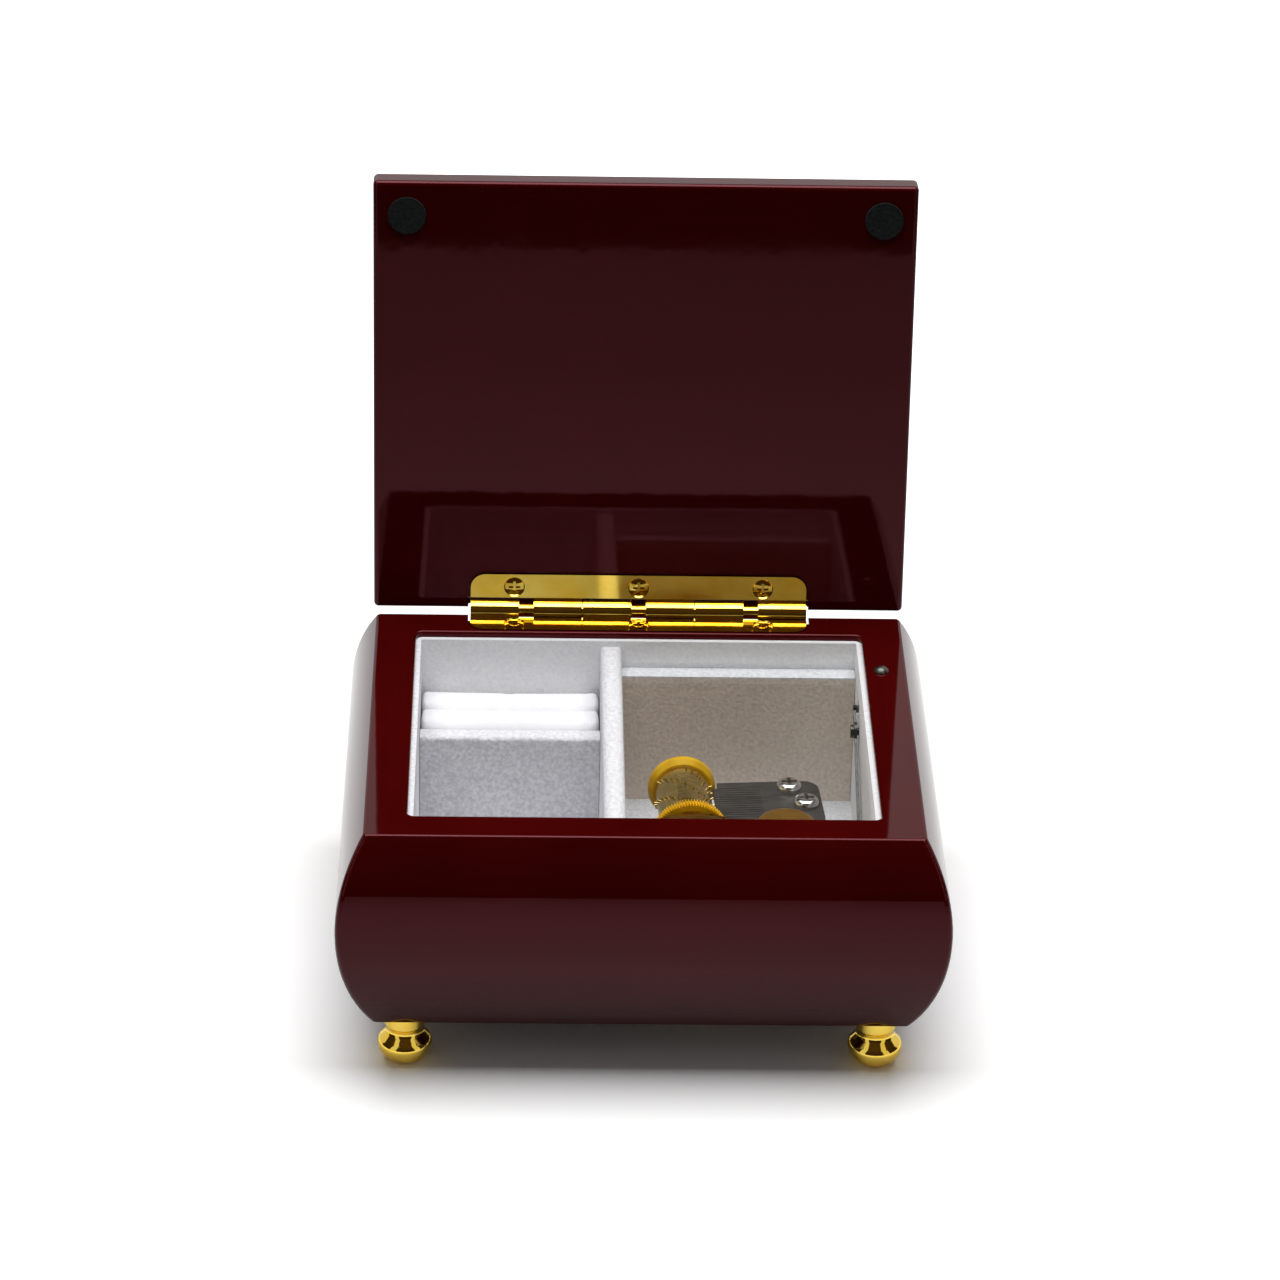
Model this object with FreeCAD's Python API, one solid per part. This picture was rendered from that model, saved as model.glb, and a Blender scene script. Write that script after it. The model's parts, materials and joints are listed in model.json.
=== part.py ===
"""Wind-up music box: a bow-sided lacquered case on turned feet, with a hinged lid, a lined
interior, and a spring-driven musical movement under a clear pane.

All sizes are in millimetres. +X is to the right, +Y to the hinge side and +Z up. The pieces are
built about the middle of the case, standing on Z = 0, with the lid open, and are moved at the
end so that the origin lies under the middle of the open box.
"""
import FreeCAD
import Part
import math
import os

V = FreeCAD.Vector
X_AXIS = V(1, 0, 0)
Y_AXIS = V(0, 1, 0)
Z_AXIS = V(0, 0, 1)

# Case
rim_width = 113.0
rim_depth = 94.0
body_height = 45.6
bulge = 5.85
bulge_drop = 20.6
base_inset = 1.5
wall_side = 8.6
wall_end = 8.0
arris_radius = 1.2
rim_round = 0.7
base_round = 1.1
mouth_corner = 1.5
mouth_round = 0.6
panel_recess = 2.8
panel_thickness = 4.0
panel_rebate = 0.5
panel_clearance = 0.1

# Feet
foot_height = 11.1
foot_radius = 5.65
foot_base_radius = 2.4
foot_widest_height = 4.0
foot_bowl_turn = 1.17
foot_edge_round = 1.8
foot_shoulder_lean = 44.0
foot_neck_radius = 3.6
foot_neck_round = 1.4
foot_collar_radius = 4.2
foot_inset_x = 8.0
foot_inset_y = 6.3
foot_stud_radius = 1.1
foot_stud_length = 8.0

# Lining and compartments
lining = 1.1
lining_drop = 1.4
floor_lining = 0.5
divider_x = -6.0
divider_thickness = 4.5
divider_drop = 2.0
divider_round = 1.8
cross_from_back = 17.9
cross_thickness = 4.2
cross_drop = 14.2
cross_round = 1.0
lining_gap = 0.1
cushion_gap = 0.15
cushion_shoulder_drop = 16.0
cushion_crown_drop = 12.7
cushion_channel_depth = 5.0
cushion_channel_width = 0.8
cushion_draw = 0.6
cushion_end_round = 1.2

# Clear pane over the movement
pane_drop = 6.5
pane_thickness = 1.2
pane_gap = 0.2
ledge_depth = 4.0

# Lid
lid_thickness = 6.0
lid_gap = 0.6
lid_over_side = 0.8
lid_over_front = 1.25
lid_over_back = 1.25
lid_round = 1.0
open_angle = 95.6
bumper_radius = 4.0
bumper_inset_x = 7.1
bumper_inset_y = 7.4
bumper_clearance = 0.05

# Hinge
pin_behind_rim = 1.5
pin_radius = 1.5
pin_clearance = 0.04
knuckle_radius = 2.5
knuckle_length = 10.45
knuckle_gap = 0.2
knuckle_window = 3.2
leaf_width = 8.2
leaf_thickness = 1.0
leaf_corner = 3.2
leaf_relief = 0.3
mortise_clearance = 0.5
notch_clearance = 0.5
leaf_screw_spacing = 26.9
leaf_screw_offset = 5.3
leaf_screw_head_radius = 2.0
leaf_screw_radius = 0.8
leaf_screw_length = 5.0
leaf_screw_sink = 0.25
leaf_screw_slot = 0.6
recess_width_share = 0.14
recess_reach_share = 0.62

# Movement: place, bed and comb
movement_from_divider = 14.35
movement_y = -2.5
movement_yaw = 4.0
bed_left = 11.5
bed_right = 30.5
bed_front = 28.0
bed_back = 22.8
bed_thickness = 2.6
bed_corner = 3.0
axle_height = 12.8
comb_right = 29.3
comb_front = 1.5
comb_back = 20.5
comb_root = 17.5
comb_thickness = 2.0
comb_rise = 0.3
comb_corner = 3.5
tooth_count = 18
tooth_pitch = 0.92
tooth_slit = 0.15
tooth_thickness = 0.8
tooth_clearance = 0.15
tooth_front = 1.65
comb_pad_inset = 1.0
comb_screw_places = ((22.9, 17.3), (25.8, 10.4))
comb_screw_head_radius = 2.7
comb_screw_head_height = 1.9
comb_screw_head_round = 1.3
comb_screw_radius = 1.4
comb_screw_length = 7.0
comb_screw_slot = 0.8
bed_screw_places = ((-7.5, 18.5), (15.0, 18.5), (15.0, -23.5))
bed_screw_radius = 1.5
bed_screw_head_radius = 2.6
bed_screw_head_height = 1.6
bed_screw_slot = 0.3
bed_screw_clearance = 0.2

# Movement: pinned cylinder
drum_radius = 5.8
drum_wall = 0.6
drum_start = 0.9
drum_length = 17.5
plug_length = 2.0
note_pin_radius = 0.22
note_pin_height = 0.55
pins_per_track = 5
pin_group_turn = 137.5
pin_track_turn = 11.0
axle_radius = 1.0
running_fit = 0.04
cap_radius = 7.2
cap_width = 2.0
cap_bevel = 0.9
drive_teeth = 80
drive_width = 1.9
drive_tip = 8.0
drive_dish = 0.6
drive_dish_rim = 1.4
mesh_depth = 0.4
mesh_clearance = 0.1
fine_root_share = 0.56
fine_tip_share = 0.24
bearing_thickness = 1.4
bearing_half_width = 2.2
bearing_gap = 0.4

# Movement: spring barrel and winding
barrel_forward = 14.3
crown_teeth = 45
crown_radius = 12.8
crown_tooth_width = 1.4
crown_tooth_height = 1.3
crown_skirt_height = 0.6
crown_web = 1.3
pinion_teeth = 12
pinion_width = 1.7
pinion_overlap = 0.8
pinion_clearance = 0.2
coarse_root_share = 0.46
coarse_tip_share = 0.21
barrel_radius = 9.0
barrel_wall = 0.7
barrel_floor = 0.8
barrel_floor_height = 5.4
cover_radius = 10.4
cover_thickness = 1.2
cover_round = 0.8
arbor_radius = 2.0
arbor_pivot_radius = 1.2
arbor_collar_radius = 3.2
arbor_play = 0.1
ratchet_teeth = 16
ratchet_radius = 5.0
ratchet_tooth_height = 0.9
ratchet_thickness = 1.2
ratchet_lift = 0.6
click_clearance = 0.15
click_width = 2.0
spring_thickness = 0.35
spring_pitch = 0.62
spring_turns = 8
spring_end_gap = 1.0
key_gap = 0.6
key_hub_radius = 3.0
key_hub_height = 6.0
key_socket = 4.5
key_lobe_radius = 4.2
key_lobe_spread = 5.2
key_lobe_drop = 6.7
key_eye_radius = 1.8
key_plate = 1.8

# Movement: governor
governor_teeth = 50
governor_angle = -15.0
wheel_teeth = 30
wheel_radius = 6.0
wheel_addendum = 0.25
wheel_width = 1.4
wheel_forward = 5.5
wheel_tooth_root = 0.58
wheel_tooth_tip = 0.32
worm_radius = 1.4
worm_addendum = 0.3
worm_thread_root = 0.5
worm_thread_tip = 0.3
worm_turns = 4
worm_clearance = 0.15
worm_thread_sink = 0.8
governor_axle_radius = 0.8
shaft_radius = 0.6
cheek_thickness = 1.0
cheek_gap = 1.2
cheek_height = 12.0
cheek_left = 2.4
cheek_right = 6.2
frame_foot = 0.8
hood_radius = 6.5
hood_wall = 0.7
hood_height = 6.6
hood_round = 1.6
hood_boss = 0.4
fan_radius = 5.0
fan_height = 1.1
fan_thickness = 0.5
fan_hub_radius = 1.3
slot_margin = 0.4

# Stop work worked by the lid
plunger_inset_x = 5.2
plunger_inset_y = 23.8
plunger_radius = 1.6
plunger_rise = 1.1
plunger_dome = 0.9
plunger_foot = 8.55
plunger_travel = 0.55
lever_gap = 0.15
lever_pivot_reach = 5.2
lever_tip_drop = 1.95
lever_thickness = 0.6
lever_height = 1.2
lever_wall_gap = 0.5
lever_eye_radius = 2.0
lever_pin_radius = 0.8
lever_pin_head_radius = 1.4
lever_pin_grip = 4.0
lever_finger = 0.6
lever_tip_radius = 0.5
lever_tip_gap = 0.15
pocket_margin = 0.7

# Heights and places that follow from the sizes above
rim_z = foot_height + body_height
mouth_x = rim_width / 2 - wall_side
mouth_y = rim_depth / 2 - wall_end
panel_bottom = foot_height + panel_recess
panel_top = panel_bottom + panel_thickness
floor_z = panel_top + floor_lining
lining_top = rim_z - lining_drop
inner_x = mouth_x - lining
inner_y = mouth_y - lining
divider_left = divider_x - divider_thickness / 2
divider_right = divider_x + divider_thickness / 2
cross_y = inner_y - cross_from_back
movement_x = divider_right + movement_from_divider
pane_top = rim_z - pane_drop
pane_bottom = pane_top - pane_thickness
hinge_y = rim_depth / 2 + pin_behind_rim
hinge_z = rim_z + lid_gap / 2
hinge_length = 6 * knuckle_length + 3 * knuckle_window + 2 * knuckle_gap
lid_bottom = rim_z + lid_gap
lid_half_width = rim_width / 2 + lid_over_side
lid_front = -rim_depth / 2 - lid_over_front
lid_back = rim_depth / 2 + lid_over_back
comb_top = axle_height + comb_rise
comb_bottom = comb_top - comb_thickness
drum_end = drum_start + drum_length
note_reach = drum_radius + note_pin_height
pinion_back = drum_start - drive_width - bearing_gap
crown_mean = crown_radius - crown_tooth_width / 2
pinion_pitch = crown_mean * pinion_teeth / crown_teeth
crown_tip_z = axle_height + pinion_pitch - pinion_overlap / 2
crown_root_z = crown_tip_z + crown_tooth_height
crown_web_z = crown_root_z + crown_skirt_height
crown_top_z = crown_web_z + crown_web
ratchet_z = bed_thickness + ratchet_lift
drive_pitch = drive_tip - mesh_depth / 2
governor_pitch = drive_pitch * governor_teeth / drive_teeth
governor_reach = drive_pitch + governor_pitch
governor_u = governor_reach * math.cos(math.radians(governor_angle))
governor_z = axle_height + governor_reach * math.sin(math.radians(governor_angle))
worm_u = governor_u + wheel_radius + worm_radius
hood_top = cheek_height + hood_height
fan_z = hood_top - hood_wall - hood_boss - fan_height - arbor_play
yaw_cos = math.cos(math.radians(movement_yaw))
yaw_sin = math.sin(math.radians(movement_yaw))
fan_x = movement_x + worm_u * yaw_cos + wheel_forward * yaw_sin
fan_y = movement_y + worm_u * yaw_sin - wheel_forward * yaw_cos
plunger_x = rim_width / 2 - plunger_inset_x
plunger_y = rim_depth / 2 - plunger_inset_y
lever_x = inner_x - lever_wall_gap
lever_y = plunger_y - lever_pivot_reach
finger_top = rim_z - plunger_foot - lever_gap
finger_z = finger_top - lever_height / 2
tip_x = fan_x + fan_radius + lever_tip_gap
tip_z = floor_z + fan_z - lever_tip_drop
lever_slope = (finger_z - tip_z) / (plunger_y - fan_y)
lever_z = finger_z - lever_slope * lever_pivot_reach


# Small helpers

def box(x0, x1, y0, y1, z0, z1):
    """Upright block between two corners."""
    return Part.makeBox(x1 - x0, y1 - y0, z1 - z0, V(x0, y0, z0))


def rod(radius, start, end):
    """Round bar between two points."""
    way = end - start
    return Part.makeCylinder(radius, way.Length, start, way)


def rounded_box(x0, x1, y0, y1, z0, z1, radius):
    """Upright block whose four upright edges are rounded."""
    block = box(x0, x1, y0, y1, z0, z1)
    upright = [e for e in block.Edges if abs(e.tangentAt(e.FirstParameter).z) > 0.9]
    return block.makeFillet(radius, upright)


def edges_at(shape, height):
    """Edges that lie in the level plane at height."""
    def level(edge):
        return all(abs(v.Z - height) < 1e-4 for v in edge.Vertexes)
    return [e for e in shape.Edges if level(e)]


def seat(shape):
    """Moves a piece from the movement's own frame to its place on the lined floor."""
    moved = shape.copy()
    moved.rotate(V(0, 0, 0), Z_AXIS, movement_yaw)
    moved.translate(V(movement_x, movement_y, floor_z))
    return moved


def open_lid(shape):
    """Swings a piece of the closed lid to the open rest position."""
    moved = shape.copy()
    moved.rotate(V(0, hinge_y, hinge_z), X_AXIS, -open_angle)
    return moved


def facing_front(shape, u, back, z):
    """Turns a disc drawn flat so that it faces the front, with its far side at back."""
    moved = shape.copy()
    moved.rotate(V(0, 0, 0), X_AXIS, 90)
    moved.translate(V(u, back, z))
    return moved


def toothed_disc(count, root, tip, root_width, tip_width, thickness, phase):
    """Flat gear blank with straight-sided teeth, one of them centred at phase degrees."""
    points = []
    for index in range(count):
        middle = math.radians(phase + 360.0 * index / count)
        for radius, width, side in ((root, root_width, -1), (tip, tip_width, -1),
                                    (tip, tip_width, 1), (root, root_width, 1)):
            angle = middle + side * width / 2 / radius
            points.append(V(radius * math.cos(angle), radius * math.sin(angle), 0))
    face = Part.Face(Part.makePolygon(points + points[:1]))
    return face.extrude(V(0, 0, thickness))


def dome(radius, rise, top):
    """Arc in the XZ plane from the rim of a low dome to its middle, at the level top."""
    ball = (radius ** 2 + rise ** 2) / (2 * rise)
    bend = math.asin(radius / ball) / 2
    middle = V(ball * math.sin(bend), 0, top - ball + ball * math.cos(bend))
    return Part.Arc(V(radius, 0, top - rise), middle, V(0, 0, top)).toShape()


def cross_slot(radius, depth, top):
    """Cross-shaped driver recess cut down from the level top."""
    width = radius * recess_width_share
    reach = radius * recess_reach_share
    first = box(-reach, reach, -width, width, top - depth, top + depth)
    second = box(-width, width, -reach, reach, top - depth, top + depth)
    return first.fuse(second)


# Case walls

def bow_edges(half):
    """Outline of one bowed cross-section, as edges in the XZ plane."""
    base = half - base_inset
    widest = half + bulge
    widest_z = rim_z - bulge_drop

    def bow(edge_offset, edge_z, side):
        inward = widest - edge_offset
        height = abs(edge_z - widest_z)
        radius = (inward ** 2 + height ** 2) / (2 * inward)
        sweep = math.asin(height / radius) / 2
        middle_z = widest_z + math.copysign(radius * math.sin(sweep), edge_z - widest_z)
        middle_x = widest - radius + radius * math.cos(sweep)
        ends = V(side * widest, 0, widest_z), V(side * edge_offset, 0, edge_z)
        return Part.Arc(ends[0], V(side * middle_x, 0, middle_z), ends[1]).toShape()

    edges = [Part.makeLine(V(-base, 0, foot_height), V(base, 0, foot_height))]
    edges.append(bow(base, foot_height, 1))
    edges.append(bow(half, rim_z, 1))
    edges.append(Part.makeLine(V(half, 0, rim_z), V(-half, 0, rim_z)))
    edges.append(bow(half, rim_z, -1))
    edges.append(bow(base, foot_height, -1))
    return edges


def bowed_block(half, length):
    """Block with two bowed sides, facing -X and +X."""
    outline = Part.Wire(Part.__sortEdges__(bow_edges(half)))
    block = Part.Face(outline).extrude(V(0, length, 0))
    block.translate(V(0, -length / 2, 0))
    return block


def cavity():
    """The straight-sided hollow of the case."""
    return rounded_box(-mouth_x, mouth_x, -mouth_y, mouth_y, foot_height - 1, rim_z + 1, mouth_corner)


def case_carcass():
    """The four walls as one piece, before they are mitred apart."""
    reach = 2 * (rim_width + rim_depth)
    across = bowed_block(rim_width / 2, reach)
    along = bowed_block(rim_depth / 2, reach)
    along.rotate(V(0, 0, 0), Z_AXIS, 90)
    block = across.common(along)

    def on_arris(edge):
        middle = edge.valueAt((edge.FirstParameter + edge.LastParameter) / 2)
        off = abs(middle.x) - rim_width / 2 - (abs(middle.y) - rim_depth / 2)
        return abs(off) < 1e-3 and abs(middle.x) > mouth_x and abs(middle.y) > mouth_y

    block = block.makeFillet(arris_radius, [e for e in block.Edges if on_arris(e)])
    block = block.makeFillet(rim_round, edges_at(block, rim_z))
    block = block.makeFillet(base_round, edges_at(block, foot_height))
    block = block.cut(cavity())

    def on_mouth(edge):
        return all(abs(v.X) < mouth_x + 0.1 and abs(v.Y) < mouth_y + 0.1 for v in edge.Vertexes)

    mouth = [e for e in edges_at(block, rim_z) if on_mouth(e)]
    block = block.makeFillet(mouth_round, mouth)
    rebate_x = mouth_x + panel_rebate
    rebate_y = mouth_y + panel_rebate
    rebate = box(-rebate_x, rebate_x, -rebate_y, rebate_y, foot_height - 1, panel_top)
    return block.cut(rebate)


def mitre(half_along, half_across):
    """Prism that keeps the wall facing -Y, cut at 45 degrees through the rim's corners."""
    reach = min(half_along, half_across) * 0.9
    out = 2 * bulge + reach
    corners = [V(-half_along - out, -half_across - out, 0),
               V(half_along + out, -half_across - out, 0),
               V(half_along - reach, -half_across + reach, 0),
               V(-half_along + reach, -half_across + reach, 0)]
    face = Part.Face(Part.makePolygon(corners + corners[:1]))
    return face.extrude(V(0, 0, rim_z + 1))


def foot_places():
    """Centres of the four feet, by name."""
    foot_x = rim_width / 2 - foot_inset_x
    foot_y = rim_depth / 2 - foot_inset_y
    return {"front_left": V(-foot_x, -foot_y, 0), "front_right": V(foot_x, -foot_y, 0),
            "back_left": V(-foot_x, foot_y, 0), "back_right": V(foot_x, foot_y, 0)}


def foot_stud(place):
    """Stud that holds a foot in the wall above it."""
    low = place + V(0, 0, foot_height)
    return rod(foot_stud_radius, low, low + V(0, 0, foot_stud_length))


def foot(place):
    """Turned foot: a bowl, a sloping shoulder, a hollow neck and a collar under the wall."""
    lean = math.radians(foot_shoulder_lean)

    def on_edge(turn):
        return V(foot_radius - foot_edge_round * (1 - math.cos(turn)), 0,
                 foot_widest_height + foot_edge_round * math.sin(turn))

    base = V(foot_base_radius, 0, 0)
    bowl = V(foot_radius - foot_bowl_turn, 0, foot_bowl_turn)
    widest = on_edge(0)
    slope_low = on_edge(lean)
    hollow_radius = foot_neck_radius + foot_neck_round * (1 - math.cos(lean))
    hollow_height = foot_neck_round * math.sin(lean)
    slope_high = V(hollow_radius, 0, slope_low.z + (slope_low.x - hollow_radius) / math.tan(lean))
    neck = V(foot_neck_radius, 0, slope_high.z + hollow_height)
    flare = V(hollow_radius, 0, neck.z + hollow_height)
    collar = V(foot_collar_radius, 0, flare.z + (foot_collar_radius - hollow_radius) / math.tan(lean))
    edges = [Part.makeLine(V(0, 0, 0), base)]
    edges.append(Part.Arc(base, bowl, widest).toShape())
    edges.append(Part.Arc(widest, on_edge(lean / 2), slope_low).toShape())
    edges.append(Part.makeLine(slope_low, slope_high))
    edges.append(Part.Arc(slope_high, neck, flare).toShape())
    edges.append(Part.makeLine(flare, collar))
    edges.append(Part.makeLine(collar, V(foot_collar_radius, 0, foot_height)))
    edges.append(Part.makeLine(V(foot_collar_radius, 0, foot_height), V(0, 0, foot_height)))
    edges.append(Part.makeLine(V(0, 0, foot_height), V(0, 0, 0)))
    body = Part.Face(Part.Wire(edges)).revolve(V(0, 0, 0), Z_AXIS, 360)
    body.translate(place)
    return body.fuse(foot_stud(place)).removeSplitter()


# Hinge

def knuckle_spans():
    """Start and end of each knuckle along X, from left to right."""
    spans = []
    x = -hinge_length / 2
    for index in range(6):
        spans.append((x, x + knuckle_length))
        x += knuckle_length + (knuckle_gap if index in (1, 3) else knuckle_window)
    return spans


def along_hinge(radius, x0, x1):
    """Round bar on the hinge line."""
    return rod(radius, V(x0, hinge_y, hinge_z), V(x1, hinge_y, hinge_z))


def leaf_plate(margin, z0, z1):
    """Hinge leaf outline, or its mortise when margin is not zero."""
    half = hinge_length / 2 + margin
    front = hinge_y - leaf_width - margin
    plate = box(-half, half, front, hinge_y, z0, z1)
    corners = [e for e in plate.Edges
               if abs(e.tangentAt(e.FirstParameter).z) > 0.9 and e.Vertexes[0].Y < front + 0.1]
    return plate.makeFillet(leaf_corner + margin, corners)


def leaf(z0, z1, first, bore_radius):
    """One hinge leaf with every other knuckle, starting with knuckle number first."""
    spans = knuckle_spans()
    shape = leaf_plate(0, z0, z1)
    relief = [along_hinge(knuckle_radius + leaf_relief, -hinge_length, hinge_length)]
    keep = []
    for x0, x1 in spans[first::2]:
        keep.append(box(x0, x1, hinge_y - leaf_width, hinge_y, z0, z1).common(shape))
        keep.append(along_hinge(knuckle_radius, x0, x1))
    shape = shape.cut(relief).fuse(keep)
    return shape.cut(along_hinge(bore_radius, -hinge_length, hinge_length)).removeSplitter()


def leaf_screws(surface, inward):
    """Three cross-head screws with low domes, sunk level with surface, shanks along inward."""
    screws = []
    neck_z = leaf_screw_radius - leaf_screw_head_radius - leaf_screw_sink
    corners = [V(0, 0, -leaf_screw_length), V(leaf_screw_radius, 0, -leaf_screw_length),
               V(leaf_screw_radius, 0, neck_z), V(leaf_screw_head_radius, 0, -leaf_screw_sink)]
    edges = [Part.makeLine(start, end) for start, end in zip(corners, corners[1:])]
    edges.append(dome(leaf_screw_head_radius, leaf_screw_sink, 0))
    edges.append(Part.makeLine(V(0, 0, 0), corners[0]))
    slot = cross_slot(leaf_screw_head_radius, leaf_screw_slot, 0)
    for side in (-1, 0, 1):
        screw = Part.Face(Part.Wire(edges)).revolve(V(0, 0, 0), Z_AXIS, 360).cut(slot)
        if inward > 0:
            screw.rotate(V(0, 0, 0), X_AXIS, 180)
        screw.translate(V(side * leaf_screw_spacing, hinge_y - leaf_screw_offset, surface))
        screws.append(screw)
    return screws


def leaf_screw_holes(surface, inward):
    """Screw-shaped holes whose countersinks run on up to the surface."""
    mouth = leaf_screw_head_radius + leaf_screw_sink
    cone = mouth - leaf_screw_radius
    holes = []
    for side in (-1, 0, 1):
        place = V(side * leaf_screw_spacing, hinge_y - leaf_screw_offset, surface)
        step = V(0, 0, inward)
        head = Part.makeCone(mouth, leaf_screw_radius, cone, place, step)
        shank = rod(leaf_screw_radius, place + step * cone, place + step * leaf_screw_length)
        holes.append(head.fuse(shank))
    return holes


def hinge_notch():
    """Room for the hinge barrel in the edges of the case and the lid."""
    half = hinge_length / 2 + notch_clearance
    return along_hinge(knuckle_radius + notch_clearance, -half, half)


# Stop work worked by the lid

def plunger():
    """Domed pin that stands just proud of the rim."""
    place = V(plunger_x, plunger_y, rim_z)
    shoulder = plunger_rise - plunger_dome
    low = -plunger_foot
    edges = [Part.makeLine(V(0, 0, low), V(plunger_radius, 0, low))]
    edges.append(Part.makeLine(V(plunger_radius, 0, low), V(plunger_radius, 0, shoulder)))
    edges.append(dome(plunger_radius, plunger_dome, plunger_rise))
    edges.append(Part.makeLine(V(0, 0, plunger_rise), V(0, 0, low)))
    pin = Part.Face(Part.Wire(edges)).revolve(V(0, 0, 0), Z_AXIS, 360)
    pin.translate(place)
    return pin


def plunger_bore():
    """Guide hole for the plunger, down to the lever's pocket."""
    low = V(plunger_x, plunger_y, rim_z - plunger_foot)
    return rod(plunger_radius + running_fit, low, V(plunger_x, plunger_y, rim_z + 1))


def lever_pocket():
    """Pocket in the right wall and its lining, where the lever passes under the plunger."""
    drop = plunger_travel + pocket_margin
    half = plunger_radius + pocket_margin
    low = finger_top - lever_height - drop
    high = finger_top + lever_gap + pocket_margin
    return box(inner_x - 1, plunger_x + half, plunger_y - half, plunger_y + half, low, high)


def stop_lever():
    """Rocking lever: a finger under the plunger, an eye, and a wire end beside the fan."""
    tip = V(tip_x, fan_y, tip_z)
    half = lever_height / 2
    left = lever_x - lever_thickness
    outline = [V(left, plunger_y + lever_finger, finger_z + half),
               V(left, plunger_y + lever_finger, finger_z - half),
               V(left, tip.y - half, tip.z - half),
               V(left, tip.y - half, tip.z + half)]
    bar = Part.Face(Part.makePolygon(outline + outline[:1])).extrude(V(lever_thickness, 0, 0))
    eye = rod(lever_eye_radius, V(left, lever_y, lever_z), V(lever_x, lever_y, lever_z))
    finger = box(left, plunger_x + plunger_radius, plunger_y - lever_finger, plunger_y + lever_finger,
                 finger_z - half, finger_z + half)
    wire = rod(lever_tip_radius, tip, V(lever_x, tip.y, tip.z))
    shape = bar.fuse([eye, finger, wire])
    bore_start = V(left - 1, lever_y, lever_z)
    bore = rod(lever_pin_radius + running_fit, bore_start, V(lever_x + 1, lever_y, lever_z))
    return shape.cut(bore).removeSplitter()


def lever_pivot():
    """Headed pin driven into the right wall, on which the lever rocks."""
    left = lever_x - lever_thickness - lever_gap
    pin = rod(lever_pin_radius, V(left, lever_y, lever_z), V(mouth_x + lever_pin_grip, lever_y, lever_z))
    head = rod(lever_pin_head_radius, V(left - lever_thickness, lever_y, lever_z), V(left, lever_y, lever_z))
    return pin.fuse(head).removeSplitter()


# Lining, dividers and cushion

def lining_pieces():
    """Flocked cards on the four inner walls and the floor."""
    hollow = cavity()
    pieces = {}
    pieces["lining_back"] = box(-mouth_x, mouth_x, inner_y, mouth_y, floor_z, lining_top)
    pieces["lining_front"] = box(-mouth_x, mouth_x, -mouth_y, -inner_y, floor_z, lining_top)
    pieces["lining_left"] = box(-mouth_x, -inner_x, -inner_y, inner_y, floor_z, lining_top)
    pieces["lining_right"] = box(inner_x, mouth_x, -inner_y, inner_y, floor_z, lining_top)
    pieces["lining_floor"] = box(-mouth_x, mouth_x, -mouth_y, mouth_y, panel_top, floor_z)
    for name in pieces:
        pieces[name] = pieces[name].common(hollow)
    pivot_hole = rod(lever_pin_radius, V(inner_x - 1, lever_y, lever_z), V(mouth_x + 1, lever_y, lever_z))
    pieces["lining_right"] = pieces["lining_right"].cut([lever_pocket(), pivot_hole])
    pieces["lining_floor"] = pieces["lining_floor"].cut(floor_holes())
    return pieces


def floor_holes():
    """Holes under the movement for its screws and its winding arbor."""
    holes = []
    low = panel_bottom - floor_z - 1
    for u, w in bed_screw_places:
        hole = rod(bed_screw_radius + bed_screw_clearance, V(u, w, low), V(u, w, 1))
        holes.append(seat(hole))
    holes.append(seat(on_barrel(arbor_radius + 2 * bed_screw_clearance, low, 1)))
    return holes


def bottom_panel():
    """Board let into the rebate under the walls."""
    half_x = mouth_x + panel_rebate - panel_clearance
    half_y = mouth_y + panel_rebate - panel_clearance
    board = box(-half_x, half_x, -half_y, half_y, panel_bottom, panel_top)
    return board.cut(floor_holes())


def divider():
    """Long flocked divider between the tray and the movement's bay."""
    top = rim_z - divider_drop
    back = inner_y - lining_gap
    board = box(divider_left, divider_right, -back, back, floor_z, top)
    return board.makeFillet(divider_round, edges_at(board, top))


def cross_divider():
    """Short flocked divider in front of the ring cushion."""
    top = rim_z - cross_drop
    board = box(-inner_x + lining_gap, divider_left - lining_gap, cross_y - cross_thickness / 2,
                cross_y + cross_thickness / 2, floor_z, top)
    long_edges = [e for e in edges_at(board, top) if abs(e.tangentAt(e.FirstParameter).x) > 0.9]
    return board.makeFillet(cross_round, long_edges)


def ring_cushion():
    """Two soft rolls side by side, with a channel between them and drawn-in ends."""
    front = cross_y + cross_thickness / 2 + cushion_gap
    back = inner_y - cushion_gap
    middle = (front + back) / 2
    left = -inner_x + cushion_gap
    right = divider_left - cushion_gap
    shoulder = rim_z - cushion_shoulder_drop
    crown = rim_z - cushion_crown_drop
    lip = cushion_channel_width / 2
    rolls = ((front, middle - lip), (middle + lip, back))

    def point(y, z):
        return V(left, y, z)

    edges = [Part.makeLine(point(back - cushion_draw, floor_z), point(front + cushion_draw, floor_z)),
             Part.makeLine(point(front + cushion_draw, floor_z), point(front, shoulder))]
    for index, (start, end) in enumerate(rolls):
        top = point((start + end) / 2, crown)
        edges.append(Part.Arc(point(start, shoulder), top, point(end, shoulder)).toShape())
        if index == 0:
            bottom = shoulder - cushion_channel_depth
            edges.append(Part.makeLine(point(end, shoulder), point(middle, bottom)))
            edges.append(Part.makeLine(point(middle, bottom), point(rolls[1][0], shoulder)))
    edges.append(Part.makeLine(point(back, shoulder), point(back - cushion_draw, floor_z)))
    body = Part.Face(Part.Wire(edges)).extrude(V(right - left, 0, 0))
    ends = box(left, right, front - 1, back + 1, floor_z, crown)
    end_edges = [e for e in edges_at(ends, crown) if abs(e.tangentAt(e.FirstParameter).y) > 0.9]
    return body.common(ends.makeFillet(cushion_end_round, end_edges))


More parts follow.
